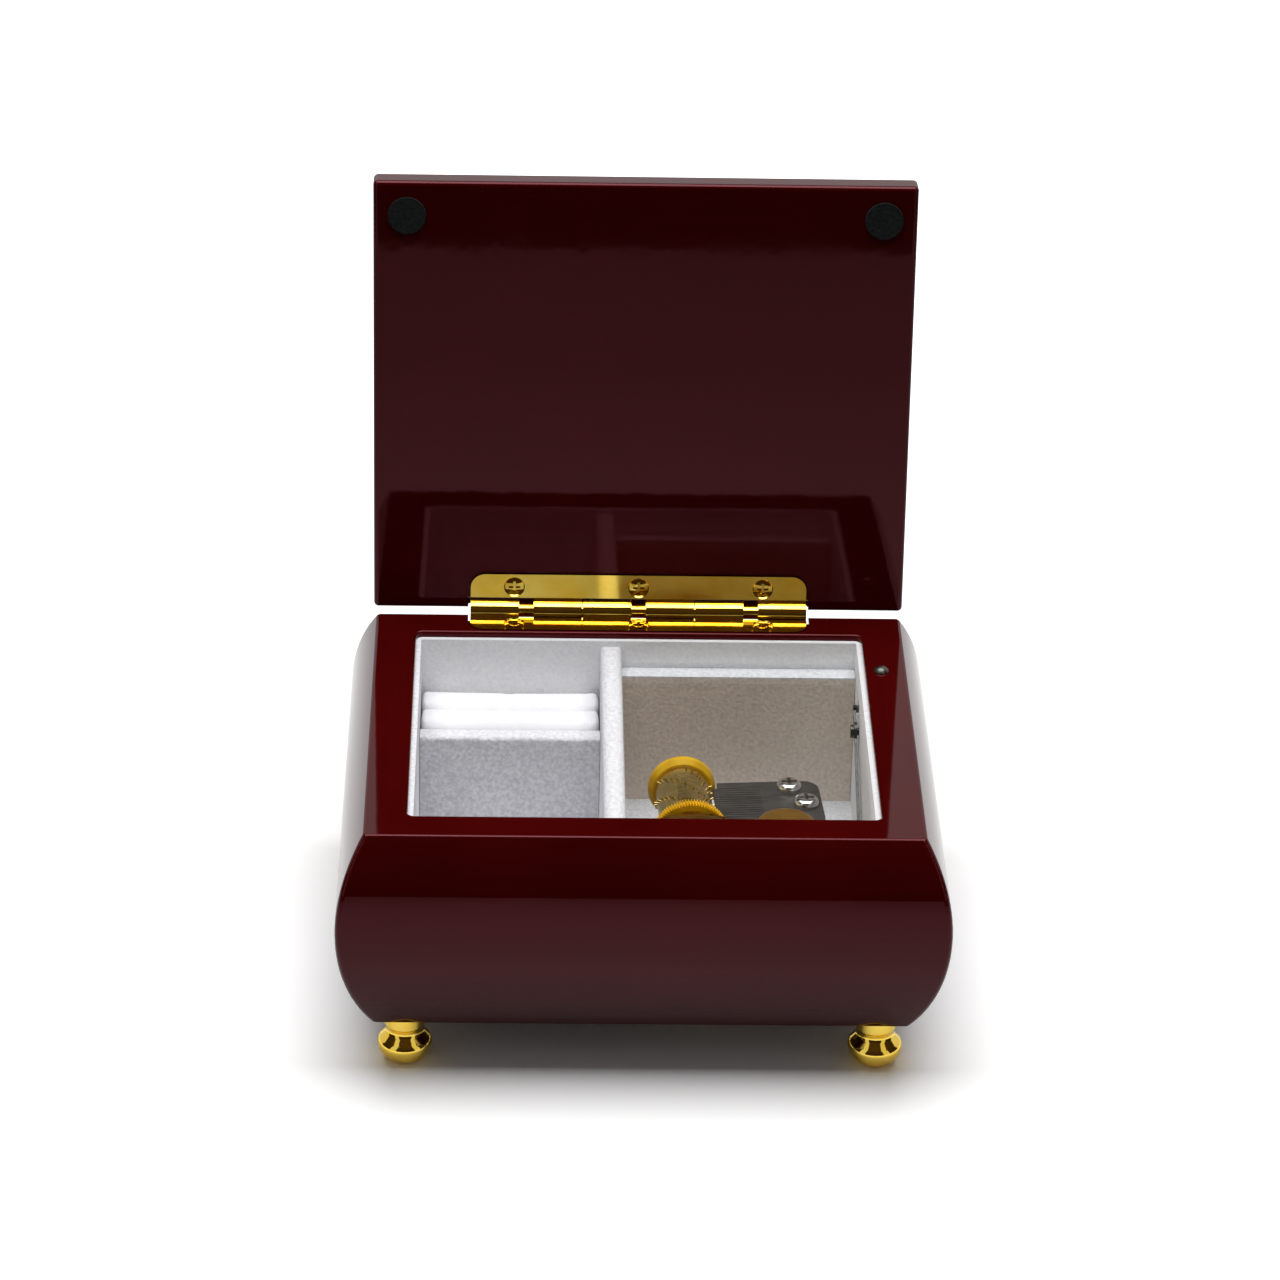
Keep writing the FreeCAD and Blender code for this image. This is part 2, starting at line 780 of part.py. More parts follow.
def bay_ledge(side):
    """Flocked block along the front (-1) or back (1) of the bay, under the clear pane."""
    outer = side * (inner_y - lining_gap)
    inner = outer - side * ledge_depth
    y0, y1 = min(outer, inner), max(outer, inner)
    return box(divider_right, inner_x - lining_gap, y0, y1, floor_z, pane_bottom)


def clear_pane():
    """Clear sheet that keeps fingers off the movement."""
    back = inner_y - pane_gap
    return box(divider_right + pane_gap, inner_x - pane_gap, -back, back, pane_bottom, pane_top)


# Lid, drawn closed

def lid_board():
    """Flat lacquered board with rounded edges, a leaf mortise and a notch for the hinge barrel."""
    board = box(-lid_half_width, lid_half_width, lid_front, lid_back, lid_bottom, lid_bottom + lid_thickness)
    board = board.makeFillet(lid_round, board.Edges)
    mortise = leaf_plate(mortise_clearance, lid_bottom - 1, lid_bottom + leaf_thickness)
    return board.cut([mortise, hinge_notch()] + leaf_screw_holes(lid_bottom, 1))


def bumper(side):
    """Round felt pad under one front corner of the lid."""
    x = side * (lid_half_width - bumper_inset_x)
    y = lid_front + bumper_inset_y
    return rod(bumper_radius, V(x, y, rim_z + bumper_clearance), V(x, y, lid_bottom))


# Movement, drawn in its own frame: u to the right, w to the back, the cylinder's axle along w

def bed_plate():
    """Flat bed with the raised pad that carries the comb."""
    plate = rounded_box(-bed_left, bed_right, -bed_front, bed_back, 0, bed_thickness, bed_corner)
    pad = box(comb_root + comb_pad_inset, comb_right - comb_pad_inset, comb_front + comb_pad_inset,
              comb_back - comb_pad_inset, bed_thickness, comb_bottom)
    holes = [on_barrel(arbor_radius + running_fit, -1, bed_thickness + 1),
             on_worm(shaft_radius + running_fit, bed_thickness / 2, bed_thickness + 1)]
    for u, w in bed_screw_places:
        holes.append(rod(bed_screw_radius, V(u, w, -1), V(u, w, bed_thickness - running_fit)))
    for u, w in comb_screw_places:
        low = comb_top - comb_screw_length
        holes.append(rod(comb_screw_radius, V(u, w, low), V(u, w, comb_top)))
    return plate.fuse(pad).cut(holes).removeSplitter()


def bed_screws():
    """Screws that hold the bed to the bottom panel, from below."""
    screws = []
    under = panel_bottom - floor_z
    for u, w in bed_screw_places:
        shank = rod(bed_screw_radius, V(u, w, under), V(u, w, bed_thickness - 2 * running_fit))
        head = rod(bed_screw_head_radius, V(u, w, under - bed_screw_head_height), V(u, w, under))
        reach = bed_screw_head_radius
        slot = box(u - reach, u + reach, w - bed_screw_slot, w + bed_screw_slot,
                   under - bed_screw_head_height, under - bed_screw_head_height / 2)
        screws.append(shank.fuse(head).cut(slot).removeSplitter())
    return screws


def comb():
    """Steel comb: a plate with rounded outer corners, a shoulder beside the cap, and slit teeth."""
    plate = box(comb_root, comb_right, comb_front, comb_back, comb_bottom, comb_top)
    outer = [e for e in plate.Edges
             if abs(e.tangentAt(e.FirstParameter).z) > 0.9 and e.Vertexes[0].X > comb_right - 0.1]
    plate = plate.makeFillet(comb_corner, outer)
    tip_u = note_reach + tooth_clearance
    row = tooth_count * tooth_pitch - tooth_slit
    teeth = box(tip_u, comb_root, tooth_front, tooth_front + row, comb_top - tooth_thickness, comb_top)
    slits = []
    for index in range(1, tooth_count):
        end = tooth_front + index * tooth_pitch
        slits.append(box(tip_u - 1, comb_root - tooth_pitch, end - tooth_slit, end, 0, comb_top + 1))
    shoulder = box(cap_radius + mortise_clearance, comb_root, tooth_front + row + tooth_slit, comb_back,
                   comb_bottom, comb_top)
    holes = [rod(comb_screw_radius, V(u, w, 0), V(u, w, comb_top + 1)) for u, w in comb_screw_places]
    return plate.fuse([teeth.cut(slits), shoulder]).cut(holes).removeSplitter()


def comb_screws():
    """Pan-head cross-recess screws through the comb into its pad."""
    screws = []
    for u, w in comb_screw_places:
        head = rod(comb_screw_head_radius, V(0, 0, 0), V(0, 0, comb_screw_head_height))
        head = head.makeFillet(comb_screw_head_round, edges_at(head, comb_screw_head_height))
        shank = rod(comb_screw_radius, V(0, 0, -comb_screw_length), V(0, 0, 0))
        slot = cross_slot(comb_screw_head_radius, comb_screw_slot, comb_screw_head_height)
        screw = head.fuse(shank).cut(slot).removeSplitter()
        screw.translate(V(u, w, comb_top))
        screws.append(screw)
    return screws


def axle_hole(w0, w1, radius):
    """Round bar on the cylinder's axle line."""
    return rod(radius, V(0, w0, axle_height), V(0, w1, axle_height))


def bearing(front):
    """Upright post that carries one end of the cylinder's axle."""
    back = front + bearing_thickness
    half = bearing_half_width
    post = box(-half, half, front, back, bed_thickness, axle_height)
    bore = axle_hole(front - 1, back + 1, axle_radius + running_fit)
    return post.fuse(axle_hole(front, back, half)).cut(bore).removeSplitter()


front_bearing_w = pinion_back - pinion_width - bearing_gap - bearing_thickness
rear_bearing_w = drum_end + cap_width + bearing_gap


def pinned_drum():
    """Brass tube with the note pins standing out of it."""
    tube = axle_hole(drum_start, drum_end, drum_radius)
    tube = tube.cut(axle_hole(drum_start - 1, drum_end + 1, drum_radius - drum_wall))
    pins = []
    for track in range(tooth_count):
        w = tooth_front + (track + 0.5) * tooth_pitch - tooth_slit / 2
        for note in range(pins_per_track):
            turn = 360.0 * note / pins_per_track + pin_group_turn * (track // 3) + pin_track_turn * track
            angle = math.radians(turn)
            way = V(math.cos(angle), 0, math.sin(angle))
            middle = V(0, w, axle_height)
            root = middle + way * (drum_radius - drum_wall / 2)
            pins.append(rod(note_pin_radius, root, middle + way * note_reach))
    return tube.fuse(pins)


def drive_gear():
    """Fine-toothed gear that closes the front of the drum."""
    pitch = 2 * math.pi * drive_pitch / drive_teeth
    root = drive_tip - mesh_depth - mesh_clearance
    disc = toothed_disc(drive_teeth, root, drive_tip, pitch * fine_root_share, pitch * fine_tip_share,
                        drive_width, governor_angle)
    gear = facing_front(disc, 0, drum_start, axle_height)
    front = drum_start - drive_width
    dish = axle_hole(front, front + drive_dish, root - drive_dish_rim)
    dish = dish.cut(axle_hole(front, front + drive_dish, axle_radius * 3))
    plug = axle_hole(drum_start, drum_start + plug_length, drum_radius - drum_wall)
    return gear.cut(dish).fuse(plug).cut(axle_hole(front - 1, drum_end, axle_radius)).removeSplitter()


def end_cap():
    """Smooth cap that closes the back of the drum."""
    wide = axle_hole(drum_end + cap_bevel, drum_end + cap_width, cap_radius)
    bevel = Part.makeCone(cap_radius - cap_bevel, cap_radius, cap_bevel, V(0, drum_end, axle_height), Y_AXIS)
    plug = axle_hole(drum_end - plug_length, drum_end, drum_radius - drum_wall)
    bore = axle_hole(drum_end - plug_length - 1, drum_end + cap_width + 1, axle_radius)
    return wide.fuse([bevel, plug]).cut(bore).removeSplitter()


def cylinder_axle():
    """Steel axle through the drum, between the two bearings."""
    return axle_hole(front_bearing_w, rear_bearing_w + bearing_thickness, axle_radius)


def cylinder_pinion():
    """Pinion in front of the drive gear, under the crown gear's teeth."""
    pitch = 2 * math.pi * pinion_pitch / pinion_teeth
    tip = pinion_pitch + pinion_overlap / 2
    root = pinion_pitch - pinion_overlap / 2 - pinion_clearance
    gap_up = 90.0 + 180.0 / pinion_teeth
    disc = toothed_disc(pinion_teeth, root, tip, pitch * coarse_root_share, pitch * coarse_tip_share,
                        pinion_width, gap_up)
    gear = facing_front(disc, 0, pinion_back, axle_height)
    return gear.cut(axle_hole(pinion_back - pinion_width - 1, pinion_back + 1, axle_radius))


def on_barrel(radius, z0, z1):
    """Round bar on the barrel's upright line."""
    return rod(radius, V(0, -barrel_forward, z0), V(0, -barrel_forward, z1))


def barrel_cup():
    """Cup that holds the mainspring and turns on the arbor."""
    cup = on_barrel(barrel_radius, barrel_floor_height, crown_top_z)
    hollow = on_barrel(barrel_radius - barrel_wall, barrel_floor_height + barrel_floor, crown_top_z + 1)
    return cup.cut([hollow, on_barrel(arbor_radius + running_fit, 0, crown_top_z)])


def crown_gear():
    """Flange on the cup with a skirt whose lower edge is cut into teeth."""
    inner = crown_radius - crown_tooth_width

    def ring_of(hole, z0, z1):
        return on_barrel(crown_radius, z0, z1).cut(on_barrel(hole, z0, z1))

    web = ring_of(barrel_radius, crown_web_z, crown_top_z)
    skirt = ring_of(inner, crown_root_z, crown_web_z)
    ring = ring_of(inner, crown_tip_z, crown_root_z)
    pitch = 2 * math.pi * crown_mean / crown_teeth
    wide = pitch * coarse_root_share / 2
    narrow = pitch * coarse_tip_share / 2
    teeth = []
    for index in range(crown_teeth):
        corners = [V(inner - 1, -wide, crown_root_z), V(inner - 1, wide, crown_root_z),
                   V(inner - 1, narrow, crown_tip_z), V(inner - 1, -narrow, crown_tip_z)]
        tooth = Part.Face(Part.makePolygon(corners + corners[:1])).extrude(V(crown_tooth_width + 2, 0, 0))
        tooth.rotate(V(0, 0, 0), Z_AXIS, 90.0 + 360.0 * index / crown_teeth)
        tooth.translate(V(0, -barrel_forward, 0))
        teeth.append(tooth)
    cut_ring = ring.common(Part.makeCompound(teeth))
    return web.fuse([skirt] + cut_ring.Solids).removeSplitter()


def barrel_cover():
    """Lid of the barrel, with the arbor's upper bearing."""
    top = crown_top_z + cover_thickness
    disc = on_barrel(cover_radius, crown_top_z, top)
    disc = disc.makeFillet(cover_round, edges_at(disc, top))
    return disc.cut(on_barrel(arbor_pivot_radius + running_fit, crown_top_z - 1, top + 1))


def mainspring():
    """Spiral strip of half-turn arcs inside the cup."""
    step = spring_pitch / 2
    outer_end = barrel_radius - barrel_wall - spring_thickness
    start = outer_end - spring_turns * spring_pitch - spring_pitch

    def arcs(extra):
        run = []
        for half in range(2 * spring_turns):
            radius = start + half * step + extra
            side = 1 if half % 2 == 0 else -1
            middle_x = 0 if half % 2 == 0 else step
            run.append(Part.Arc(V(middle_x + side * radius, 0, 0), V(middle_x, side * radius, 0),
                                V(middle_x - side * radius, 0, 0)).toShape())
        return run

    inner = arcs(0)
    outer = arcs(spring_thickness)
    first = Part.makeLine(V(start, 0, 0), V(start + spring_thickness, 0, 0))
    last_inner = inner[-1].valueAt(inner[-1].LastParameter)
    last_outer = outer[-1].valueAt(outer[-1].LastParameter)
    ends = [first, Part.makeLine(last_inner, last_outer)]
    outline = Part.Wire(Part.__sortEdges__(inner + outer + ends))
    low = barrel_floor_height + barrel_floor + arbor_play
    strip = Part.Face(outline).extrude(V(0, 0, crown_top_z - spring_end_gap - low))
    strip.translate(V(0, -barrel_forward, low))
    return strip


def winding_arbor():
    """Upright arbor from the key, through the bed and the barrel, to the cover."""
    low = panel_bottom - floor_z - key_gap - key_socket
    collar_top = barrel_floor_height - arbor_play
    stem = on_barrel(arbor_radius, low, crown_top_z - arbor_play)
    pivot = on_barrel(arbor_pivot_radius, crown_top_z - arbor_play, crown_top_z + cover_thickness)
    collar = on_barrel(arbor_collar_radius, ratchet_z + ratchet_thickness, collar_top)
    return stem.fuse([pivot, collar]).removeSplitter()


def ratchet_wheel():
    """Saw-toothed wheel on the arbor."""
    points = []
    for index in range(ratchet_teeth):
        start = 2 * math.pi * index / ratchet_teeth
        points.append(V(ratchet_radius * math.cos(start), ratchet_radius * math.sin(start), 0))
        low = ratchet_radius - ratchet_tooth_height
        points.append(V(low * math.cos(start), low * math.sin(start), 0))
    points.append(points[0])
    wheel = Part.Face(Part.makePolygon(points)).extrude(V(0, 0, ratchet_thickness))
    wheel.translate(V(0, -barrel_forward, ratchet_z))
    return wheel.cut(on_barrel(arbor_radius, ratchet_z - 1, ratchet_z + ratchet_thickness + 1))


def click():
    """Pawl on a post in the bed, pointing at the ratchet wheel."""
    tip = -ratchet_radius - click_clearance
    root = tip - click_width
    top = ratchet_z + ratchet_thickness
    corners = [V(tip, -barrel_forward, ratchet_z), V(root, -barrel_forward - click_width / 2, ratchet_z),
               V(root, -barrel_forward + click_width / 2, ratchet_z)]
    pawl = Part.Face(Part.makePolygon(corners + corners[:1])).extrude(V(0, 0, ratchet_thickness))
    post = rod(click_width / 2, V(root, -barrel_forward, bed_thickness), V(root, -barrel_forward, top))
    return pawl.fuse(post).removeSplitter()


def winding_key():
    """Butterfly key under the case."""
    top = panel_bottom - floor_z - key_gap
    lobe_z = top - key_lobe_drop
    hub = on_barrel(key_hub_radius, top - key_hub_height, top)
    half = key_plate / 2
    front = -barrel_forward - half
    plate = box(-key_lobe_spread, key_lobe_spread, front, front + key_plate, lobe_z - key_lobe_radius / 2,
                lobe_z + key_lobe_radius / 2)
    lobes = []
    eyes = []
    for side in (-1, 1):
        start = V(side * key_lobe_spread, front, lobe_z)
        lobes.append(rod(key_lobe_radius, start, start + V(0, key_plate, 0)))
        eyes.append(rod(key_eye_radius, start - V(0, 1, 0), start + V(0, key_plate + 1, 0)))
    socket = on_barrel(arbor_radius, top - key_socket, top + 1)
    return hub.fuse([plate] + lobes).cut(eyes + [socket]).removeSplitter()


# Governor: a wheel driven by the drive gear turns an upright worm that carries the fan

def governor_bar(radius, w0, w1):
    """Round bar on the governor wheel's axle line."""
    return rod(radius, V(governor_u, w0, governor_z), V(governor_u, w1, governor_z))


wheel_back = -wheel_forward + wheel_width / 2
wheel_front = -wheel_forward - wheel_width / 2
cheek_back_w = wheel_back + cheek_gap
cheek_front_w = wheel_front - cheek_gap - cheek_thickness


def governor_gear():
    """Gear on the governor's axle, in mesh with the drive gear."""
    pitch = 2 * math.pi * governor_pitch / governor_teeth
    tip = governor_pitch + mesh_depth / 2
    root = tip - mesh_depth - mesh_clearance
    gap_phase = 180.0 + governor_angle + 180.0 / governor_teeth
    disc = toothed_disc(governor_teeth, root, tip, pitch * fine_root_share, pitch * fine_tip_share,
                        drive_width, gap_phase)
    gear = facing_front(disc, governor_u, drum_start, governor_z)
    return gear.cut(governor_bar(governor_axle_radius, drum_start - drive_width - 1, drum_start + 1))


def worm_wheel():
    """Wheel turned round by the governor's axle, in mesh with the worm."""
    tip = wheel_radius + wheel_addendum
    root = wheel_radius - worm_addendum - worm_clearance
    half_pitch = 180.0 / wheel_teeth
    disc = toothed_disc(wheel_teeth, root, tip, wheel_tooth_root, wheel_tooth_tip, wheel_width, half_pitch)
    wheel = facing_front(disc, governor_u, wheel_back, governor_z)
    return wheel.cut(governor_bar(governor_axle_radius, wheel_front - 1, wheel_back + 1))


def governor_axle():
    """Axle of the governor wheel, through both cheeks of the frame."""
    return governor_bar(governor_axle_radius, cheek_front_w, drum_start)


def governor_frame():
    """Two cheeks on a foot, which carry the axle and the hood."""
    left = governor_u - cheek_left
    right = worm_u + cheek_right
    cheeks = []
    for w in (cheek_front_w, cheek_back_w):
        cheeks.append(box(left, right, w, w + cheek_thickness, bed_thickness, cheek_height))
    back = cheek_back_w + cheek_thickness
    foot_top = bed_thickness + frame_foot
    base = box(left, right, cheek_front_w, back, bed_thickness, foot_top)
    slot = box(left - 1, worm_u - worm_radius, wheel_front - slot_margin, wheel_back + slot_margin,
               0, foot_top + 1)
    pivot = on_worm(shaft_radius + running_fit, 0, foot_top + 1)
    bore = governor_bar(governor_axle_radius + running_fit, cheek_front_w - 1, back + 1)
    return base.fuse(cheeks).cut([slot, pivot, bore]).removeSplitter()


def on_worm(radius, z0, z1):
    """Round bar on the worm's upright line."""
    return rod(radius, V(worm_u, -wheel_forward, z0), V(worm_u, -wheel_forward, z1))


def worm_shaft():
    """Upright shaft with a right-hand worm thread."""
    lead = 2 * math.pi * wheel_radius / wheel_teeth
    core = worm_radius - wheel_addendum - worm_clearance
    tip = worm_radius + worm_addendum
    height = lead * worm_turns
    low = governor_z - lead * (worm_turns // 2) - lead / 2
    sunk = core * worm_thread_sink
    helix = Part.makeHelix(lead, height, sunk)
    profile = [V(sunk, 0, -worm_thread_root / 2), V(tip, 0, -worm_thread_tip / 2),
               V(tip, 0, worm_thread_tip / 2), V(sunk, 0, worm_thread_root / 2)]
    sweep = Part.BRepOffsetAPI.MakePipeShell(helix)
    sweep.setFrenetMode(True)
    sweep.add(Part.makePolygon(profile + profile[:1]))
    sweep.build()
    sweep.makeSolid()
    thread = sweep.shape()
    thread.translate(V(worm_u, -wheel_forward, low))
    body = on_worm(core, low - lead / 2, low + height + lead / 2)
    shaft = on_worm(shaft_radius, bed_thickness / 2 + arbor_play, hood_top - hood_wall)
    return body.fuse([thread, shaft])


def fan():
    """Two flat blades on a hub, above the worm."""
    top = fan_z + fan_height
    hub = on_worm(fan_hub_radius, fan_z, top)
    half = fan_thickness / 2
    blade = box(worm_u - fan_radius, worm_u + fan_radius, -wheel_forward - half, -wheel_forward + half,
                fan_z, top)
    blade = blade.common(on_worm(fan_radius, fan_z, top))
    return hub.fuse(blade).cut(on_worm(shaft_radius, fan_z - 1, top + 1)).removeSplitter()


def governor_hood():
    """Round hood over the fan, open below, with slots for the wheel and the lever."""
    outer = on_worm(hood_radius, cheek_height, hood_top)
    outer = outer.makeFillet(hood_round, edges_at(outer, hood_top))
    ceiling = hood_top - hood_wall
    inner = on_worm(hood_radius - hood_wall, cheek_height - 1, ceiling)
    inner = inner.makeFillet(hood_round - hood_wall, edges_at(inner, ceiling))
    boss = on_worm(fan_hub_radius, ceiling - hood_boss, ceiling)
    bore = on_worm(shaft_radius + running_fit, ceiling - hood_boss - 1, ceiling + arbor_play)
    wheel_top = governor_z + wheel_radius + wheel_addendum + slot_margin
    wheel_slot = box(worm_u - hood_radius - 1, worm_u - worm_radius, wheel_front - slot_margin,
                     wheel_back + slot_margin, cheek_height - 1, wheel_top)
    gear_tip = governor_pitch + mesh_depth / 2 + slot_margin
    gear_slot = box(worm_u - hood_radius - 1, governor_u + gear_tip, drum_start - drive_width - slot_margin,
                    drum_start + slot_margin, cheek_height - 1, governor_z + gear_tip)
    return outer.cut(inner).fuse(boss).cut([bore, wheel_slot, gear_slot]).removeSplitter()


def lever_slot():
    """Opening in the hood's side for the lever's end, over its whole swing."""
    swing = plunger_travel / lever_pivot_reach
    forward = abs(lever_z - tip_z) * swing
    rise = abs(lever_y - fan_y) * swing
    room = lever_tip_radius + slot_margin
    return box(tip_x - lever_tip_gap, tip_x + hood_radius, fan_y - forward - room, fan_y + room,
               tip_z - room, tip_z + rise + room)


# Assembly

def walls():
    """The four mitred walls with their cuts for the hinge, the feet and the stop work."""
    carcass = case_carcass()
    front_cut = mitre(rim_width / 2, rim_depth / 2)
    side_cut = mitre(rim_depth / 2, rim_width / 2)
    studs = [foot_stud(place) for place in foot_places().values()]
    pieces = {}
    for name, prism, turn in (("wall_front", front_cut, 0), ("wall_right", side_cut, 90),
                              ("wall_back", front_cut, 180), ("wall_left", side_cut, 270)):
        tool = prism.copy()
        tool.rotate(V(0, 0, 0), Z_AXIS, turn)
        pieces[name] = carcass.common(tool).cut(studs)
    mortise = leaf_plate(mortise_clearance, rim_z - leaf_thickness, rim_z + 1)
    back_cuts = [mortise, hinge_notch()] + leaf_screw_holes(rim_z, -1)
    pieces["wall_back"] = pieces["wall_back"].cut(back_cuts)
    pivot_end = V(mouth_x + lever_pin_grip, lever_y, lever_z)
    pivot = rod(lever_pin_radius, V(mouth_x - 1, lever_y, lever_z), pivot_end)
    pieces["wall_right"] = pieces["wall_right"].cut([plunger_bore(), lever_pocket(), pivot])
    return pieces


def hinge_pieces():
    """Both leaves, the pin and the screws."""
    holes = leaf_screw_holes(rim_z, -1)
    lid_holes = leaf_screw_holes(lid_bottom, 1)
    pieces = {}
    pieces["hinge_case_leaf"] = leaf(rim_z - leaf_thickness, rim_z, 0, pin_radius).cut(holes)
    pieces["hinge_pin"] = along_hinge(pin_radius, -hinge_length / 2, hinge_length / 2)
    pieces["hinge_case_screws"] = Part.makeCompound(leaf_screws(rim_z, -1))
    lid_leaf = leaf(lid_bottom, lid_bottom + leaf_thickness, 1, pin_radius + pin_clearance).cut(lid_holes)
    pieces["hinge_lid_leaf"] = open_lid(lid_leaf)
    pieces["hinge_lid_screws"] = open_lid(Part.makeCompound(leaf_screws(lid_bottom, 1)))
    return pieces


def movement_pieces():
    """Every piece of the movement, in the movement's own frame."""
    pieces = {}
    pieces["bed_plate"] = bed_plate()
    pieces["bed_screws"] = Part.makeCompound(bed_screws())
    pieces["comb"] = comb()
    pieces["comb_screws"] = Part.makeCompound(comb_screws())
    pieces["front_bearing"] = bearing(front_bearing_w)
    pieces["rear_bearing"] = bearing(rear_bearing_w)
    pieces["pinned_drum"] = pinned_drum()
    pieces["drive_gear"] = drive_gear()
    pieces["end_cap"] = end_cap()
    pieces["cylinder_axle"] = cylinder_axle()
    pieces["cylinder_pinion"] = cylinder_pinion()
    pieces["barrel_cup"] = barrel_cup()
    pieces["crown_gear"] = crown_gear()
    pieces["barrel_cover"] = barrel_cover()
    pieces["mainspring"] = mainspring()
    pieces["winding_arbor"] = winding_arbor()
    pieces["ratchet_wheel"] = ratchet_wheel()
    pieces["click"] = click()
    pieces["winding_key"] = winding_key()
    pieces["governor_gear"] = governor_gear()
    pieces["worm_wheel"] = worm_wheel()
    pieces["governor_axle"] = governor_axle()
    pieces["governor_frame"] = governor_frame()
    pieces["worm_shaft"] = worm_shaft()
    pieces["fan"] = fan()
    pieces["governor_hood"] = governor_hood()
    return pieces


def build():
    """All pieces by node name, about the middle of the case."""
    pieces = walls()
    for name, place in foot_places().items():
        pieces["foot_" + name] = foot(place)
    pieces["bottom_panel"] = bottom_panel()
    pieces.update(lining_pieces())
    pieces["divider"] = divider()
    pieces["cross_divider"] = cross_divider()
    pieces["ring_cushion"] = ring_cushion()
    pieces["bay_ledge_front"] = bay_ledge(-1)
    pieces["bay_ledge_back"] = bay_ledge(1)
    pieces["clear_pane"] = clear_pane()
    pieces.update(hinge_pieces())
    pieces["lid_board"] = open_lid(lid_board())
    pieces["bumper_left"] = open_lid(bumper(-1))
    pieces["bumper_right"] = open_lid(bumper(1))
    for name, shape in movement_pieces().items():
        pieces[name] = seat(shape)
    pieces["governor_hood"] = pieces["governor_hood"].cut(lever_slot())
    pieces["stop_plunger"] = plunger()
    pieces["stop_lever"] = stop_lever()
    pieces["lever_pivot"] = lever_pivot()
    return pieces


def middle_shift(pieces):
    """Move that puts the origin under the middle of the open box."""
    whole = Part.makeCompound(list(pieces.values())).BoundBox
    return V(-(whole.XMin + whole.XMax) / 2, -(whole.YMin + whole.YMax) / 2, -whole.ZMin)


def export(pieces):
    """Writes one file per piece and returns the move that was applied."""
    shift = middle_shift(pieces)
    os.makedirs("parts", exist_ok=True)
    for name, shape in pieces.items():
        placed = shape.copy()
        placed.translate(shift)
        placed.exportStep("parts/" + name + ".step")
        print(name, len(placed.Solids), "solids, valid", placed.isValid(), "volume", round(placed.Volume, 2))
    print("origin shift", round(shift.x, 4), round(shift.y, 4), round(shift.z, 4))
    return shift


if __name__ == "__main__":
    export(build())
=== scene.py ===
# %% [markdown]
# A wind-up music box with its lid open, dressed for a studio photograph.
#
# The solids come from a CAD model that is already at its real size, in metres, with every piece
# in its place. This lesson adds what a solid can't say: the lacquer, the gold plate, the flock,
# the soft ring cushion, the light and the camera.

import json
import math

import bpy
from mathutils import Matrix, Vector


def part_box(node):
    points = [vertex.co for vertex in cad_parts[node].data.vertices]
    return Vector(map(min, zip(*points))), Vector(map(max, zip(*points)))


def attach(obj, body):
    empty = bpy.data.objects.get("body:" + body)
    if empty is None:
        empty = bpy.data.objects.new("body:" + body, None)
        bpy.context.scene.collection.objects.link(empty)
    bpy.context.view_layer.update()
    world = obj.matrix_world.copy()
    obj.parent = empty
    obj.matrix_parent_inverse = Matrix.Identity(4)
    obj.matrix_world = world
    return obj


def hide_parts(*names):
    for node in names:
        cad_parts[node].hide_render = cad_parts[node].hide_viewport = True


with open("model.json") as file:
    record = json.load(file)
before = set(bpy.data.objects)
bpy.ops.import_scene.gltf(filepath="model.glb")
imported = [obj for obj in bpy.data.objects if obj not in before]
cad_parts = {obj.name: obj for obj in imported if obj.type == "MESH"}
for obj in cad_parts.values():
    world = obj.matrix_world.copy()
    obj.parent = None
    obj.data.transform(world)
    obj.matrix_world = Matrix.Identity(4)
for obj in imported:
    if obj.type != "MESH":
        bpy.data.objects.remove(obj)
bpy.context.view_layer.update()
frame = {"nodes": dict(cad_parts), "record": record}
nodes = frame["nodes"]

# %% [markdown]
# The camera stands about a metre away and looks down by 28 degrees through a long lens, so the
# sides of the box hardly converge. It could be aimed with a Track To constraint, but a hand-held
# camera is also turned a little about its own line of sight, which a constraint takes out again.
# Three turns multiplied together give the heading, the tilt and that small roll.

# %% Camera
eye = Vector((-0.02548, -0.92648, 0.57492))
tilt = math.radians(28.431)
heading = math.radians(1.536)
roll = math.radians(1.295)
lens = 142.53
film_width = 36.0
nearest_seen = 0.01

aim = Matrix.Rotation(-heading, 4, "Z") @ Matrix.Rotation(math.pi / 2 - tilt, 4, "X")
bpy.ops.object.select_all(action="DESELECT")
bpy.ops.object.camera_add()
camera = bpy.context.object
camera.name = "camera"
camera.matrix_world = Matrix.Translation(eye) @ aim @ Matrix.Rotation(roll, 4, "Z")
camera.data.lens = lens
camera.data.sensor_width = film_width
camera.data.clip_start = nearest_seen
bpy.context.scene.camera = camera
bpy.context.scene.view_settings.view_transform = "Standard"
print("camera at", tuple(round(c, 3) for c in camera.location), "lens", camera.data.lens)

# %% [markdown]
# Shader sums read best as sums. This class holds one output of a node. Adding to it, multiplying
# it or taking it from a number makes the Math nodes, and its add method makes every other node:
# its settings are set first, then each socket gets a value or a link.

# %% Sums of sockets
class Wire:
    """One output of a node, which can be used in sums like a number."""

    def __init__(self, tree, socket=None):
        self.tree = tree
        self.socket = socket

    def add(self, kind, settings=None, inputs=None, output=0):
        made = self.tree.nodes.new(kind)
        for name, value in (settings or {}).items():
            setattr(made, name, value)
        for name, value in (inputs or {}).items():
            if isinstance(value, Wire):
                self.tree.links.new(value.socket, made.inputs[name])
            else:
                made.inputs[name].default_value = value
        return Wire(self.tree, made.outputs[output])

    def sum(self, operation, first, second):
        return self.add("ShaderNodeMath", {"operation": operation}, {0: first, 1: second})

    def __add__(self, other):
        return self.sum("ADD", self, other)

    def __radd__(self, other):
        return self.sum("ADD", other, self)

    def __rsub__(self, other):
        return self.sum("SUBTRACT", other, self)

    def __mul__(self, other):
        return self.sum("MULTIPLY", self, other)

    def __rmul__(self, other):
        return self.sum("MULTIPLY", other, self)


